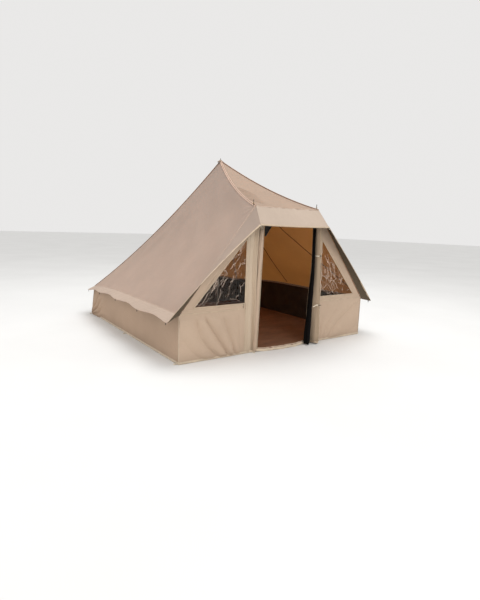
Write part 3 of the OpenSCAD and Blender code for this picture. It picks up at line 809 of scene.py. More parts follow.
def hood_side(name, flip):
    s, w = grid(120, 26)
    s = s * 0.9995
    points = mix(gable_edge(s) - 0.0025, hood_edge(s), w)
    down = s * 1.56
    wide = 0.28 * (1 - s) + 0.19 * s
    relief = 0.0028 * ripple(down, w * wide, 71 if name == "left" else 72, 0.12, 0.6)
    relief = relief + 0.0026 * np.sin(down * 9 + 4 * w) * bow(w)
    relief = relief * border(w * wide, reach=0.03) * smooth(down, 0, 0.05)
    cloth = cloth_piece("hood_%s_cloth" % name, flip(points), flip(vec(-0.76, -0.17, 0.62)),
                        [M_ROOF, M_UNDERSIDE_PAINTED_SHADE], "hood_side_" + name, "roof_canvas", relief=relief)
    hem = Piece()
    t = np.linspace(0.002, 0.988, 90)
    edge = hood_edge(t)
    inner = unit(gable_edge(t) - edge)
    out = unit(np.cross(np.gradient(edge, axis=0), inner))
    out = out * np.sign((out @ vec(-0.76, -0.17, 0.62)).mean())
    hem.tape(flip(edge + inner * 0.008), flip(out), 0.016, 0.002, 0, 0.0004)
    hem.cord(flip(edge), 0.0028, 0, 8)
    trim = hem.make("hood_%s_hem" % name, [M_HEM], slot="webbing")


def valance_relief(along, s, seed):
    relief = 0.0030 * ripple(along, s * 0.17, seed, 0.07, 0.35, 0.0, 1.0) + 0.004 * np.sin(along * 8) * s
    ribs = sum(hump(s, at, 0.028) for at in (0.22, 0.44, 0.66, 0.86))
    return relief * smooth(s, 0, 0.3) + 0.0017 * ribs


def edge_tape(trim, edge, inner, lean, flip=lambda p: p):
    """The hem along a free edge of the canvas."""
    inward = unit(inner - edge)
    out = unit(np.cross(np.gradient(edge, axis=0), inward))
    out = out * np.sign((out @ lean).mean())
    trim.tape(flip(edge + inward * 0.006 + out * 0.0006), flip(out), 0.015, 0.0016)
    trim.cord(flip(edge), 0.0024, 0, 8)


def valance(name, top, foot, lean, length, seed, flat, area, start, flip=lambda p: p):
    """A scalloped strip that stands out from an eave, with its hem."""
    t, s = grid(230, 40)
    u = 0.0005 + 0.999 * t
    cloth = cloth_piece("valance_%s_cloth" % name, flip(mix(top(u), foot(u), s)), flip(lean),
                        [M_VALANCE, M_UNDERSIDE_PAINTED_SHADE], "valance_" + name, "roof_canvas",
                        relief=valance_relief(t * length, s, seed))
    trim = Piece()
    q = np.linspace(start, 0.992, 200)
    edge_tape(trim, foot(q), top(q), lean, flip)
    hem = trim.make("valance_%s_hem" % name, [M_SEAM], slot="webbing")

def valances():
    side = (eave, valance_edge, vec(-0.4, 0, 1), 3.2)
    valance("left", *side, 81, (3.24, 0.19), 0.465, 0.004)
    valance("right", *side, 82, (3.24, 0.19), 0.465, 0.004, mirrored)
    valance("back", back_eave, back_edge, vec(0, 0.4, 1), 2.92, 83, (3.10, 0.19), 0.45, 0.008)

def valance_loops():
    """Rubber loops at the points of the valance, each on a small sewn tab."""
    loops = Piece()

    def hang(point, out, along):
        tab = np.array([point - out * 0.022 + vec(0, 0, 0.004), point - out * 0.008 + vec(0, 0, 0.001),
                        point + out * 0.002 - vec(0, 0, 0.008)])
        loops.tape(tab, unit(out * 0.6 + vec(0, 0, 0.8)), 0.016, 0.0022, 1, -0.001)
        loops.cord(loop_points(point - vec(0, 0, 0.004), 0.009, 0.024, along=along), 0.002, 0, 8, loop=True)
    for t in (0.012, 0.25, 0.5, 0.75, 0.985):
        point = valance_edge(np.array([t]))[0]
        for flip in (lambda p: p, mirrored):
            hang(flip(point - vec(-0.004, 0, 0)), flip(vec(-1, 0, 0)), (0, 1, 0))
    for t in (0.25, 0.5, 0.75):
        hang(back_edge(np.array([t]))[0] - vec(0, 0.004, 0), vec(0, 1, 0), (1, 0, 0))
    loops.make("valance_rubber_loops", [M_RUBBER, M_STRAP_AND_SHADOW], ["valance_loops"], "rubber")


# ---- Walls ----

def lobes(angle, valleys, heights):
    """Rounded folds that meet in sharp valleys at the given angles."""
    total = 0.0
    for low, high, height in zip(valleys, valleys[1:], heights):
        x = np.clip((angle - low) / (high - low), 0, 1)
        total = total + height * np.sin(math.pi * x) ** 0.8
    return total


def wall_side(name, flip):
    t, s = grid(190, 44)
    top = eave(t) - vec(0, 0, 0.010)
    foot = xyz(-HALF_W, mix1(-HALF_D, HALF_D, t), 0)
    points = mix(top, foot, s)
    along, up = t * 3.2, (1 - s) * WALL_H
    seed = 91 if name == "left" else 92
    relief = 0.006 * ripple(along, up * 0.5, seed, 0.25, 1.1, 0.0, 1.4)
    relief = relief * border(along, 3.2 - along, up, WALL_H - up, reach=0.1)
    # Creases that the pulled-out back corner sends up the wall
    angle = np.degrees(np.arctan2(up + 0.015, 3.2 - along + 0.01))
    run = np.hypot(3.2 - along, up)
    fan = smooth(run, 0.02, 0.12) * (1 - smooth(run, 0.42, 0.85))
    wander = angle + 3.0 * np.sin(run * 7) + 1.5 * np.sin(run * 19)
    relief = relief + 0.045 * lobes(wander, (4, 17, 31, 46, 60, 80), (0.5, 0.9, 1.0, 0.9, 0.5)) * fan
    angle = np.arctan2(up + 0.01, along + 0.01)
    near = smooth(along, 0.02, 0.12) * (1 - smooth(along, 0.3, 0.7)) * border(up, reach=0.1)
    relief = relief + 0.004 * np.sin(angle * 9) * near
    relief = relief + pucker(along, up, seed + 3, 0.09, 0.0022, 0.05) * smooth(up, 0, 0.02)
    relief = np.maximum(relief, -0.007)
    cloth = cloth_piece("wall_%s_cloth" % name, flip(points), flip(vec(-1, 0, 0)),
                        [M_WALL], "wall_" + name, "wall_canvas", relief=relief)



def wall_back():
    t, s = grid(180, 44)
    top = back_eave(0.002 + 0.996 * t) - vec(0, 0, 0.010)
    foot = xyz(mix1(-HALF_W, HALF_W, t), HALF_D, 0)
    points = mix(top, foot, s)
    along, up = t * 3.0, (1 - s) * WALL_H
    relief = 0.006 * ripple(along, up * 0.5, 95, 0.25, 1.1, 0.0, 1.4)
    relief = relief * border(along, 3.0 - along, up, WALL_H - up, reach=0.1)
    for side in (along, 3.0 - along):
        angle = np.degrees(np.arctan2(up + 0.015, side + 0.01))
        run = np.hypot(side, up)
        fan = smooth(run, 0.02, 0.12) * (1 - smooth(run, 0.42, 0.85))
        wander = angle + 3.0 * np.sin(run * 7 + 1)
        relief = relief + 0.034 * lobes(wander, (8, 24, 40, 56, 74), (0.6, 1.0, 0.9, 0.5)) * fan
    relief = relief + pucker(along, up, 96, 0.09, 0.0022, 0.05) * smooth(up, 0, 0.02)
    relief = np.maximum(relief, -0.007)
    cloth = cloth_piece("wall_back_cloth", points, vec(0, 1, 0),
                        [M_WALL], "wall_back", "wall_canvas", relief=relief)


# Valleys between the folds of the left front wall: how far along it each is, from the foot to the top
VALLEYS = ((0.36, 0.17, 0.05, -0.02, -0.06), (0.60, 0.43, 0.31, 0.255, 0.22),
           (0.75, 0.645, 0.535, 0.42, 0.34),
           (0.84, 0.80, 0.735, 0.67, 0.605), (0.94, 0.93, 0.915, 0.90, 0.88))


def front_wall(name, flip):
    t, s = grid(96, 60)
    x = mix1(-1.4955, -PANEL_EDGE + 0.001, t)
    points = xyz(x, -HALF_D, (1 - s) * 0.560)
    u, w = t, 1 - s
    relief = 0.0035 * ripple(u * 0.88, w * 0.56, 101 if name == "left" else 102, 0.18, 0.6, 0.4, 1.4)
    relief = relief * border(w * 0.56, (1 - w) * 0.56, u * 0.88, reach=0.08)
    if name == "left":
        mask = (1 - smooth(w, 0.84, 1.0)) * smooth(w, 0.0, 0.10)
        lines = [np.interp(w, np.linspace(0, 1, 5), line) for line in VALLEYS]
        for low, high, height in zip(lines, lines[1:], (0.022, 0.042, 0.040, 0.024)):
            across = np.clip((u - low) / (high - low), 0, 1)
            relief = relief + height * np.sin(math.pi * across) ** 0.75 * mask
    else:
        mask = border(w * 0.56, (1 - w) * 0.56, u * 0.88, reach=0.07)
        angle = np.degrees(np.arctan2((0.98 - u) * 0.882, (w + 0.30) * 0.559))
        relief = relief + 0.032 * lobes(angle + 3 * np.sin(w * 5), (12, 30, 47, 72), (0.35, 0.6, 1.0)) * mask
    relief = relief + pucker(u * 0.88, w * 0.56, 104, 0.075, 0.0022, 0.045) * smooth(w, 0, 0.03)
    relief = relief + pucker(u * 0.88, (1 - w) * 0.56, 105, 0.06, 0.0014, 0.035)
    cloth = cloth_piece("front_wall_%s_cloth" % name, flip(points), vec(0, -1, 0),
                        [M_FRONT], "front_wall_" + name, "front_canvas", relief=relief)


def hems():
    """Base hem round the walls, tapes at the corners and the double-stitched seam over the front walls."""
    trim = Piece()
    n = 120
    lift = 0.0135
    for side in (-1, 1):
        y = np.linspace(-HALF_D - 0.001, HALF_D, n)
        wave = 0.0025 * np.sin(y * 11) + 0.0015 * np.sin(y * 37)
        trim.tape(xyz(side * 1.5015, y, lift + 0.003 + 0.3 * wave), vec(side, 0, 0), 0.027, 0.0032)
        x = np.linspace(-1.501, -DOOR_FOOT, n)
        wave = 0.002 * np.sin(x * 21)
        trim.tape(xyz(side * x, -1.6015 - 0.4 * wave ** 2, lift + 0.002 + 0.4 * wave),
                  vec(0, -1, 0), 0.025, 0.003)
        z = np.linspace(0.0, 0.556, 30)
        trim.tape(xyz(side * 1.4985, -1.6015, z), unit(vec(side * 0.7, -0.7, 0)), 0.007, 0.0024)
        corner = eave(np.array([1.0]))[0] - vec(0, 0, 0.012)
        back = mix(vec(-1.5, 1.6, 0.0), corner, np.linspace(0, 1, 30))
        trim.tape(back * vec(-side, 1, 1), unit(vec(side * 0.7, 0.7, 0)), 0.014, 0.0024)
        x = np.linspace(-1.486, -0.6, 70)
        for z0, wide in ((0.5625, 0.014), (0.603, 0.006)):
            trim.tape(xyz(side * x, FACE_Y, z0 + 0.001 * np.sin(x * 40)), vec(0, -1, 0), wide, 0.0018, 1)
        z = np.linspace(0.566, 0.622, 8)
        trim.tape(xyz(side * -0.645, FACE_Y, z), vec(0, -1, 0), 0.006, 0.0014, 2)
    x = np.linspace(-1.5, 1.5, n)
    trim.tape(xyz(x, 1.6015, lift + 0.003 + 0.001 * np.sin(x * 30)), vec(0, 1, 0), 0.027, 0.0032)
    trim.make("base_hem", [M_BASE, M_HEM, M_STRAP_AND_SHADOW], slot="webbing")


def lining():
    """The dark skirt inside the walls."""
    inner = Piece()
    for flip in (lambda p: p, mirrored):
        t, s = grid(120, 20)
        u = 0.0045 + 0.991 * t
        points = mix(eave(u) + vec(0.014, 0, -0.025), xyz(-1.486, -1.6 + 3.2 * u, 0.006), s)
        folds = 0.004 * ripple(u * 3.2, s * 0.5, 111, 0.15, 0.7, 0.0, 1.2) - 0.002
        inner.sheet(flip(points), flip(vec(1, 0, 0)), LINING, (0, 0), np.maximum(folds, -0.004) * bow(s))
        x = mix1(-1.481, -0.62, t)
        points = xyz(x, -1.5855, mix1(0.541, 0.006, s))
        inner.sheet(flip(points), vec(0, 1, 0), LINING, (0, 0),
                    0.002 * ripple(x, s * 0.5, 112, 0.1, 0.4) * bow(s))
    t, s = grid(120, 20)
    u = 0.0048 + 0.9904 * t
    points = mix(back_eave(u) - vec(0, 0.014, 0.025), xyz(-1.5 + 3.0 * u, 1.586, 0.006), s)
    inner.sheet(points, vec(0, -1, 0), LINING, (0, 0),
                0.004 * ripple(u * 3, s * 0.5, 113, 0.15, 0.7) * bow(s))
    cloth = inner.make("wall_lining_cloth", [M_LINING], ["wall_lining"], "lining")


# ---- Door wall ----

def gable(name, flip):
    """The cloth frame round a window, in three strips with mitred corners."""
    outer = [vec(-1.484, 0, 0.567), vec(-PANEL_EDGE, 0, 0.567), vec(-PANEL_EDGE, 0, gable_top(PANEL_EDGE))]
    hole = [vec(x, 0, z) for x, z in ((-WINDOW_OUT, WINDOW_FOOT), (-WINDOW_IN, WINDOW_FOOT),
                                      (-WINDOW_IN, WINDOW_HEAD))]
    piece = Piece()
    for k in range(3):
        n = 5 if k == 1 else 14
        t, s = grid(70, n)
        a = mix(outer[k], outer[(k + 1) % 3], t)
        b = mix(hole[k], hole[(k + 1) % 3], t)
        points = mix(a, b, s) + vec(0, -HALF_D, 0)
        width = np.linalg.norm(a - b, axis=-1) * s
        relief = 0.0016 * ripple(points[..., 0], points[..., 2], 121, 0.08, 0.35) * bow(s)
        if k == 2:
            middle = smooth(s, 0.2, 0.6) * bow(t) * smooth(1 - s, 0, 0.2)
            relief = relief + 0.003 * np.sin(width * 210) * middle
        piece.sheet(flip(points), vec(0, -1, 0), mats=(0, 0), relief=relief)
    cloth = piece.make("gable_%s_cloth" % name, [M_FRONT], ["gable_" + name], "front_canvas")
    trim = Piece()
    for k in range(3):
        line = mix(hole[k], hole[(k + 1) % 3], np.linspace(0, 1, 60)) + vec(0, -HALF_D - 0.001, 0)
        trim.tape(flip(line), vec(0, -1, 0), 0.013, 0.0026)
        away = unit(vec(-1, 0, 0.9)) * 0.02 if k == 2 else vec(0, 0, -0.016) if k == 0 else vec(0, 0, 0)
        if k != 1:
            trim.tape(flip(line + away), vec(0, -1, 0), 0.005, 0.0014)
    border_tape = trim.make("window_%s_binding" % name, [M_HEM], slot="webbing")


def creases(x, z, seed, count, lean, where):
    """Short crinkles scattered over a film: 1 on each crinkle, 0 away from them."""
    rng = np.random.default_rng(seed)
    total = np.zeros_like(x)
    made = 0
    while made < count:
        px, pz = -1.34 + 0.73 * rng.random(), 0.62 + 0.80 * rng.random()
        if pz > 0.60 + (px + 1.343) * 1.09 or rng.random() > where(px, pz):
            continue
        made += 1
        heading = math.radians(lean + rng.normal(0, 15) + (80 if rng.random() < 0.16 else 0))
        bend, steps = rng.normal(0, 0.22), 24
        length, width = 0.04 + 0.18 * rng.random() ** 2, 0.0024 + 0.0014 * rng.random()
        near = np.full_like(x, 9.0)
        for _ in range(steps):
            near = np.minimum(near, (x - px) ** 2 + (z - pz) ** 2)
            px += length / steps * math.cos(heading)
            pz += length / steps * math.sin(heading)
            heading += bend / steps * 3
        total = np.maximum(total, np.exp(-near / width ** 2) * (0.2 + 0.8 * rng.random() ** 1.5))
    return total


def crinkled_left(x, z):
    """How likely a crinkle is to start at a point of the left film: most along its slope."""
    return 0.05 + math.exp(-abs((z - 0.66) - (x + 1.343) * 1.05) / 0.12)

def crinkled_right(x, z):
    """The same for the right film: most in a patch low in its middle."""
    return 0.10 + math.exp(-((x + 0.90) ** 2 + (z - 0.86) ** 2) / 0.04)

def window(name, flip):
    t, s = grid(210, 210)
    x = mix1(-1.343, -0.612, t)
    head = mix1(0.618, 1.412, t)
    z = mix1(0.6155, head, s)
    points = xyz(x, -1.5952, z)
    slope = (head - z) * 0.68
    seed, lean, where = (131, 47, crinkled_left) if name == "left" else (134, 62, crinkled_right)
    lines = creases(x, z, seed, 165, lean, where)
    broad = ripple(x, z, 137, 0.12, 0.4)
    edge = border(slope, z - 0.6155, -0.612 - x, reach=0.03)
    piece = Piece()
    relief = np.clip((0.0028 * lines + 0.0014 * broad) * edge, -0.0030, 0.0045)
    piece.sheet(flip(points), vec(0, -1, 0), 0.0008, (0, 0), relief)
    pane = piece.make("window_%s_film" % name, [M_FILM], ["window_" + name], "film", sharp=180)
    # Crease mask: the film material paints its highlight along it.
    attribute = pane.data.attributes.new("crinkle", "FLOAT", "POINT")
    values = (lines * edge).astype(np.float32).ravel()
    attribute.data.foreach_set("value", np.concatenate([values, values]))


def door_edge(z):
    """How far the edge of the doorway is from its middle."""
    return np.interp(z, [0, DOOR_H], [DOOR_FOOT, DOOR_TOP])


def drawn_back(z):
    """How far the rolls pull the right edge of the doorway back."""
    return 0.052 * smooth(z, 0.45, 1.10) * (1 - smooth(z, 1.57, 1.68))


def jamb(name, flip):
    """The pleated panel beside the door: a wide flat pleat, a deep valley and a crease before the edge."""
    t, s = grid(130, 110)
    z = (1 - s) * HEAD_H
    inner = door_edge(z) + (drawn_back(z) if name == "right" else 0)
    x = mix1(-0.608, -inner, t)
    z = np.minimum(z, gable_top(-x))
    points = xyz(x, -HALF_D, z)
    valley = np.interp(z, [0.1, 0.65, 0.9, 1.4], [0.64, 0.60, 0.47, 0.50]) + 0.012 * np.sin(z * 9)
    ridge = (valley + 0.80) / 2 + 0.01
    pleats = (0.85 * hump(t, 0.46 * valley, 0.16) - 1.0 * hump(t, valley, 0.085) + 0.8 * hump(t, ridge, 0.05)
              - 1.3 * hump(t, 0.80 + 0.01 * np.sin(z * 5), 0.032))
    relief = 0.021 * pleats * (1 - 0.25 * z / HEAD_H) * smooth(z, 0.0, 0.05)
    relief = relief + 0.0022 * np.sin(t * 34 + 3 * np.sin(z * 1.7)) * hump(t, 0.2, 0.25) * smooth(z, 0, 0.1)
    relief = relief + 0.002 * ripple(x, z * 0.35, 141, 0.03, 0.14, 0.0, 0.9)
    relief = relief * smooth(t, 0, 0.06) * smooth(1 - t, 0, 0.06) * smooth(HEAD_H - z, 0.0, 0.12)
    cloth = cloth_piece("jamb_%s_cloth" % name, flip(points), vec(0, -1, 0),
                        [M_JAMB], "jamb_" + name, "front_canvas", relief=relief)
    trim = Piece()
    z = np.linspace(0.02, 1.50, 150)
    edge = -door_edge(z)
    if name == "left":
        gathered_edge(trim, z, edge)
        trim.tape(xyz(edge - 0.005, -1.6006, z), vec(0, -1, 0), 0.009, 0.0016, 1)
    low = z[z < gable_top(0.61) - 0.02]
    trim.tape(flip(xyz(-0.610, FACE_Y, low)), vec(0, -1, 0), 0.010, 0.0018, 1)
    bind = trim.make("jamb_%s_edge" % name, [M_FRONT, M_HEM], slot="front_canvas")


def gathered_edge(trim, z, edge):
    """The bunched flap that hangs beside the zip, fullest near its head."""
    offset = np.interp(z, [0.0, 0.7, 0.9, 1.13, 1.35, 1.5], [-0.037, -0.037, -0.040, -0.036, -0.034, -0.026])
    half = np.interp(z, [0.0, 0.1, 0.7, 1.0, 1.15, 1.35, 1.5],
                     [0.024, 0.022, 0.019, 0.021, 0.030, 0.029, 0.021])
    half = half * (1 + 0.06 * np.sin(z * 17))
    a = np.linspace(0, 2 * math.pi, 40, endpoint=False)[None]
    twist = 0.8 * np.sin(z * 3.1)[:, None]
    fold = 1 + 0.15 * np.sin(3 * a + 2.2 * np.sin(z * 2.3)[:, None]) + 0.10 * np.sin(7 * a + twist * 5)
    middle = xyz(edge + offset, -1.6075 - 0.25 * half, z)
    across = xyz(np.cos(a) * half[:, None] * fold, 0.58 * np.sin(a) * half[:, None] * fold, 0)
    rings = middle[:, None] + across
    rings[..., 0] = np.minimum(rings[..., 0], (edge - 0.004)[:, None])
    rings[..., 1] = np.minimum(rings[..., 1], -1.6005)
    trim.skin(rings, 0)


def lintel():
    t, s = grid(90, 12)
    x = mix1(-0.374, 0.374, t)
    points = xyz(x, -HALF_D, mix1(HEAD_H, DOOR_H, s))
    relief = 0.002 * ripple(x, s * 0.07, 151, 0.05, 0.2) * bow(s) * smooth(bow(t), 0, 0.2)
    piece = Piece()
    piece.sheet(points, vec(0, -1, 0), mats=(0, 0), relief=relief)
    x = np.linspace(-0.374, 0.374, 60)
    hem = Piece()
    hem.tape(xyz(x, FACE_Y, DOOR_H + 0.008), vec(0, -1, 0), 0.014, 0.0018)
    cloth = piece.make("door_lintel_cloth", [M_JAMB], ["door_lintel"], "front_canvas")
    bind = hem.make("door_lintel_hem", [M_HEM], slot="webbing")


def sill():
    """The crumpled threshold: it rises from the ground, rolls over and runs back to the floor."""
    t, s = grid(170, 60)
    x = mix1(-0.430, 0.430, t)
    bulge = 0.058 * bow(t)
    crumple = ripple(x, s * 0.2, 161, 0.04, 0.2, 0.3, 2.0, 22)
    crest = np.clip(s / 0.42, 0, 1)
    back = smooth(s, 0.42, 1.0)
    y = -1.603 - bulge - 0.004 * crumple * bow(crest) + (0.030 + bulge) * back
    z = 0.0012 + 0.042 * np.sin(crest * math.pi / 2) - 0.034 * back
    folds = np.sin(s * 26 + 2.0 * np.sin(x * 9)) * smooth(s, 0.4, 0.6) * smooth(1 - s, 0, 0.2)
    z = z + 0.005 * crumple * bow(s) + 0.005 * folds
    points = xyz(x, y, np.clip(z, 0.0012, 0.053))
    cloth = cloth_piece("door_sill_cloth", points, vec(0, -0.3, 1),
                        [M_SILL], "door_sill", "groundsheet", 0.002)
    trim = Piece()
    q = np.linspace(-0.428, 0.428, 140)
    out = -1.603 - 0.058 * (1 - (q / 0.43) ** 2)
    wave = 0.0025 * np.sin(q * 26) + 0.0015 * np.sin(q * 61)
    trim.tape(xyz(q, out - 0.0035 + 0.5 * wave, 0.018 + wave), unit(vec(0, -1, 0.25)), 0.032, 0.003)
    trim.cord(xyz(q, out + 0.002, 0.043 + 0.7 * wave), 0.0042)
    hem = trim.make("door_sill_hem", [M_BASE], slot="webbing")


def groundsheet():
    t, s = grid(150, 150)
    x, y = mix1(-1.485, 1.485, t), mix1(-1.585, 1.585, s)
    lift = 0.0055 * (0.5 + 0.5 * ripple(x, y, 171, 0.25, 1.2, 1.35, 1.0, 20)) ** 2
    lift = lift + 0.004 * hump(ripple(x, y, 172, 0.3, 1.4, 1.5, 0.8), 0, 0.16)
    lift = lift * border(x + 1.485, 1.485 - x, y + 1.585, 1.585 - y, reach=0.1)
    points = xyz(x, y, 0.0030 + lift)
    cloth = cloth_piece("groundsheet_cloth", points, vec(0, 0, 1),
                        [M_FLOOR_SHEET], "groundsheet", "groundsheet", 0.0028)
    trim = Piece()
    line = np.linspace(-1.57, 1.57, 100)
    for side in (-1, 1):
        trim.tape(xyz(side * 1.466, line, 0.0045), unit(vec(-side * 0.5, 0, 0.9)), 0.022, 0.004)
    short = np.linspace(-1.47, 1.47, 100)
    trim.tape(xyz(short, 1.566, 0.0045), unit(vec(0, -0.5, 0.9)), 0.022, 0.004)
    welt = trim.make("groundsheet_welt", [M_WELT], slot="groundsheet")


# ---- Rolled door ----

DOOR_ROLL = [(0.520, 0.080, 0.014, 0.036), (0.522, 0.076, 0.06, 0.052), (0.530, 0.066, 0.30, 0.048),
             (0.535, 0.062, 0.531, 0.037), (0.520, 0.062, 0.90, 0.042), (0.505, 0.060, 1.186, 0.034),
             (0.495, 0.058, 1.40, 0.031), (0.490, 0.056, 1.555, 0.027)]
MESH_ROLL = [(0.375, 0.072, 0.012, 0.030), (0.378, 0.070, 0.06, 0.043), (0.396, 0.062, 0.30, 0.040),
             (0.420, 0.053, 0.531, 0.027), (0.430, 0.050, 0.90, 0.026), (0.436, 0.046, 1.186, 0.015),
             (0.434, 0.044, 1.40, 0.011), (0.432, 0.042, 1.59, 0.009)]


def along_roll(rings, z):
    """Middle and radius of a roll at height z."""
    at = [np.interp(z, [r[2] for r in rings], [r[k] for r in rings]) for k in (0, 1, 3)]
    return at[0], -HALF_D - at[1], at[2]


def rolled_leaf(rings, turns, core, hinge, seed, rough, thick, detail):
    """A door leaf in one sheet: from its hinge seam on the jamb it runs to the roll and winds round it."""
    t, h = grid(int(detail * turns) + 14, 150)
    z = mix1(rings[0][2], rings[-1][2], h)
    x, y, outer = along_roll(rings, z)
    outer = outer - 0.002
    hinge_x, hinge_y = door_edge(z) + drawn_back(z) + hinge, -HALF_D - 0.0042
    gap = np.hypot(hinge_x - x, hinge_y - y)
    leave = np.arctan2(hinge_y - y, hinge_x - x) + np.arccos(np.clip(outer / gap, -1, 1))
    split = 1 - 12.0 / len(t)
    wind = np.clip(t / split, 0, 1)
    angle = leave + 2 * math.pi * turns * (1 - wind)
    tied = sum(hump(z, tie[2], 0.045) for tie in TIES)
    fold = ripple(np.cos(angle) * 0.10, z * 0.13 + np.sin(angle) * 0.10, seed, 0.03, 0.14, 0.0, 2.0, 24)
    groove = np.sin(3 * angle + 2.4 * np.sin(z * 3.1 + seed)) + 0.6 * np.sin(5 * angle + 3 * np.sin(z * 2.2))
    loose = (1 + 0.5 * hump(z, 0.10, 0.2)) * (1 - 0.75 * tied)
    radius = mix1(core, outer, wind ** 0.92)
    radius = radius + wind * (rough * loose * (fold + 0.8 * groove) + 0.0013 * np.sin(angle * 11) * tied)
    radius = np.minimum(radius, outer + 0.0055)
    drop = 0.007 * np.sin(angle * 2 + 1) * hump(z, rings[0][2], 0.05) * wind
    points = xyz(x + radius * np.cos(angle), y + radius * np.sin(angle), z + np.maximum(drop, -0.006))
    away = np.clip((t - split) / (1 - split), 0, 1)
    seam = xyz(hinge_x, hinge_y, z)
    piece = Piece()
    piece.sheet(mix(points, seam, away), vec(0, 0, 0), thick, (0, 0))
    return piece


def ruffle(trim, rings, low, high, facing, waves):
    """The free hem of a rolled leaf, crinkled down the outside of the roll."""
    z = np.linspace(low, high, 140)
    x, y, r = along_roll(rings, z)
    a = np.radians(facing + 9 * np.sin(z * waves) + 5 * np.sin(z * waves * 2.3 + 1))
    out = xyz(np.cos(a), np.sin(a), 0)
    path = xyz(x, y, z) + out * (r + 0.002 + 0.0016 * np.sin(z * waves * 1.7))[:, None]
    trim.tape(path, out, 0.015 + 0.004 * np.sin(z * waves * 1.3), 0.0022)


def rolled_door():
    roll = rolled_leaf(DOOR_ROLL, 4.6, 0.006, 0.030, 181, 0.0026, 0.0018, 46)
    cloth = roll.make("door_roll_cloth", [M_ROLL], ["door_roll"], "front_canvas", sharp=70)
    trim = Piece()
    ruffle(trim, DOOR_ROLL, 0.03, 0.50, -62, 62)
    ruffle(trim, DOOR_ROLL, 0.57, 1.14, -70, 21)
    a = np.linspace(-0.2, 2 * math.pi - 0.5, 90)
    x, y, r = along_roll(DOOR_ROLL, np.full(90, 0.034))
    foot = xyz(x + (r + 0.0018) * np.cos(a), y + (r + 0.0018) * np.sin(a), 0.030 + 0.006 * np.sin(2 * a + 1))
    trim.tape(foot, xyz(np.cos(a), np.sin(a), 0), 0.020, 0.002)
    hem = trim.make("door_roll_hem", [M_HEM], slot="webbing")
    mesh = rolled_leaf(MESH_ROLL, 7.0, 0.003, -0.003, 182, 0.0022, 0.0008, 34)
    net = mesh.make("mesh_roll_cloth", [M_MESH], ["mesh_roll"], "mesh", sharp=70)
    ties = Piece()
    for k, tie in enumerate(TIES):
        a = np.linspace(0, 2 * math.pi, 64, endpoint=False)
        r = 0.0392 + 0.0010 * np.sin(5 * a + k)
        ring = tie + xyz(r * np.cos(a), r * np.sin(a), 0.003 * np.sin(a + k))
        ties.tape(ring, xyz(np.cos(a), np.sin(a), 0), 0.018, 0.0018, 0, loop=True)
        ties.cord(loop_points(tie + vec(0.010, -0.0450, 0.012), 0.010, 0.024), 0.0022, 0, 8, loop=True)
    q = np.linspace(0, 1, 20)
    tail = TIES[0] + xyz(-0.026 - 0.085 * q, -0.034 - 0.008 * bow(q),
                         0.004 + 0.006 * np.sin(5 * q) - 0.012 * q)
    ties.tape(tail, unit(vec(-0.2, -1, 0.2)), 0.012, 0.0018, 0)
    ties.make("door_ties_webbing", [M_WEBBING], ["door_ties"], "webbing")


# ---- Loops on the ground, a strap and a painted shadow sheet under the hood ----

def peg_loops():
    """Webbing loops sewn into the base hem, each folded into an eye for a peg."""
    loops = Piece()

    def place(x, y, heading):
        a = math.radians(heading)
        ahead, side = vec(math.cos(a), math.sin(a), 0), vec(-math.sin(a), math.cos(a), 0)
        base = vec(x, y, 0)
        q = np.linspace(0, 1, 34)
        turn = (q - 0.5) * 1.5 * math.pi
        eye = base + np.outer(0.031 + 0.0105 * np.cos(turn), ahead) + np.outer(0.0105 * np.sin(turn), side)
        legs = [base + ahead * 0.001 + side * d * 0.006 for d in (-1, 1)]
        path = np.concatenate([[legs[0]], eye, [legs[1]]])
        path[:, 2] = 0.0055 + 0.002 * np.sin(np.linspace(0, 9, len(path)))
        loops.cord(path, 0.0042, 0, 8)
        tab = base + np.outer(np.linspace(-0.001, 0.013, 5), ahead) + vec(0, 0, 0.0085)
        loops.tape(tab, vec(0, 0, 1), 0.022, 0.0022, 0, -0.001)
    for share in (-0.49, 0, 0.49):
        place(1.501, share * 3.2, 0)
        place(-1.501, share * 3.2, 180)
        place(share * 3.0, 1.601, 90)
    for x in (-0.48, 0.57):
        place(x, -1.601, -90)
    loops.make("peg_loops_webbing", [M_WEBBING], ["peg_loops"], "peg_webbing")


def shadow_sheet_and_strap():
    """A black sheet in the doorway's top corner, painted in as its shadow, and the strap that holds the hood
    to the left ridge pole.
    """
    trim = Piece()
    q = np.linspace(0, 1, 24)
    line = mix(vec(-0.268, -1.604, 1.566), vec(-0.366, -1.606, 1.425), q)
    corner = mix(vec(-0.366, -1.604, 1.566), vec(-0.368, -1.604, 1.424), q)
    rows = mix(corner[:, None], line[:, None], np.linspace(0, 1, 8)[None])
    # Black triangle in the doorway's top corner: painted shadow.
    trim.sheet(rows, vec(0, -1, 0), 0.0016, (0, 0), 0.0012 * np.sin(np.linspace(0, 9, 24))[:, None])
    trim.tape(line + vec(0.006, -0.004, 0), vec(0, -1, 0), 0.016, 0.0022)
    trim.make("doorway_shadow_sheet_and_strap", [M_STRAP_AND_SHADOW], slot="webbing")


# ---- Hardware from the CAD ----

FINISHES = {
    "apex_pin": M_PIN, "ridge_pins": M_PIN, "ridge_eyelets": M_BRASS, "tie_toggles": M_TOGGLE,
    "centre_pole_foot": M_RUBBER, "front_pole_feet": M_RUBBER,
    "canvas_zip_chain": M_ZIP_TAPE, "mesh_zip_chain": M_ZIP_TAPE,
    "canvas_zip_slider": M_ZIP_METAL, "mesh_zip_slider": M_ZIP_METAL,
    "canvas_zip_pull": M_ZIP_METAL, "mesh_zip_pull": M_ZIP_METAL,
}


def hardware():
    for name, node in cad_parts.items():
        if node.hide_render:
            continue
        node.data.materials.clear()
        node.data.materials.append(FINISHES.get(name, M_STEEL))


# ---- Studio ----

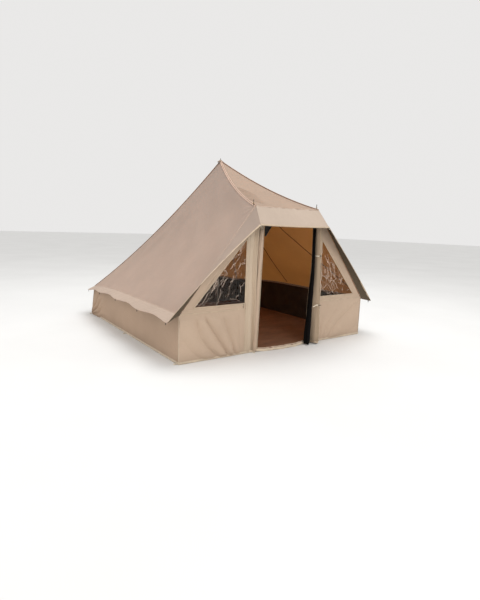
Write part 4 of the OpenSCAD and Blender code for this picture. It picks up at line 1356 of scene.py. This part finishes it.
def studio():
    s = Shader("studio_floor")
    pale = s.ramp(s.noise(s.where(), 0.6, 3), (0.3, (0.80, 0.80, 0.79)), (0.7, (0.84, 0.84, 0.83)))
    material = s.finish(s.surface(Base_Color=pale, Roughness=0.9))
    mesh = bpy.data.meshes.new("studio_floor")
    size = 60.0
    corners = [(x * size, y * size, 0) for x, y in ((-1, -1), (1, -1), (1, 1), (-1, 1))]
    mesh.from_pydata(corners, [], [(0, 1, 2, 3)])
    mesh.materials.append(material)
    floor = bpy.data.objects.new("studio_floor", mesh)
    floor.location.z = -0.0005
    bpy.context.scene.collection.objects.link(floor)
    world = bpy.data.worlds.new("studio")
    world.use_nodes = True
    world.node_tree.nodes["Background"].inputs["Color"].default_value = (1.0, 0.99, 0.98, 1)
    world.node_tree.nodes["Background"].inputs["Strength"].default_value = 0.82
    bpy.context.scene.world = world
    area_light("key", (-1.5, -9.0, 6.5), (0, -1.0, 0.8), 3.0, 110)
    area_light("fill", (-8.0, -4.0, 5.0), (0, 0, 1.0), 5.0, 50)
    area_light("top", (0.5, -0.5, 9.0), (0, 0, 0), 6.0, 380)


def area_light(name, place, target, size, power):
    data = bpy.data.lights.new(name, "AREA")
    data.shape, data.size, data.energy = "DISK", size, power
    light = bpy.data.objects.new(name, data)
    turn = (vector(target) - vector(place)).to_track_quat("-Z", "Y")
    aim = Matrix.Translation(place) @ turn.to_matrix().to_4x4()
    light.matrix_world = aim
    bpy.context.scene.collection.objects.link(light)


def vector(values):
    return Matrix.Translation(values).translation


def camera():
    """The photograph's viewpoint."""
    yaw, pitch, roll = math.radians(35.53), math.radians(9.66), math.radians(1.93)
    ahead = vec(math.sin(yaw) * math.cos(pitch), math.cos(yaw) * math.cos(pitch), -math.sin(pitch))
    level = vec(math.cos(yaw), -math.sin(yaw), 0)
    above = np.cross(level, ahead)
    right = level * math.cos(roll) + above * math.sin(roll)
    up = above * math.cos(roll) - level * math.sin(roll)
    data = bpy.data.cameras.new("camera")
    data.sensor_width = 36
    data.lens = 25.59
    data.clip_end = 200
    view = bpy.data.objects.new("camera", data)
    axes = Matrix((right, up, -ahead)).transposed().to_4x4()
    view.matrix_world = Matrix.Translation((-3.592, -5.657, 1.521)) @ axes
    bpy.context.scene.collection.objects.link(view)
    bpy.context.scene.camera = view


# ---- Build ----

side_and_mirror(roof_side)
roof_front()
roof_back()
roof_trim()
apex_cap()
hood()
valances()
valance_loops()
side_and_mirror(wall_side)
wall_back()
side_and_mirror(front_wall)
hems()
lining()
side_and_mirror(gable)
side_and_mirror(window)
side_and_mirror(jamb)
lintel()
sill()
groundsheet()
rolled_door()
peg_loops()
shadow_sheet_and_strap()
hardware()
studio()
camera()
bpy.context.scene.view_settings.view_transform = "Standard"
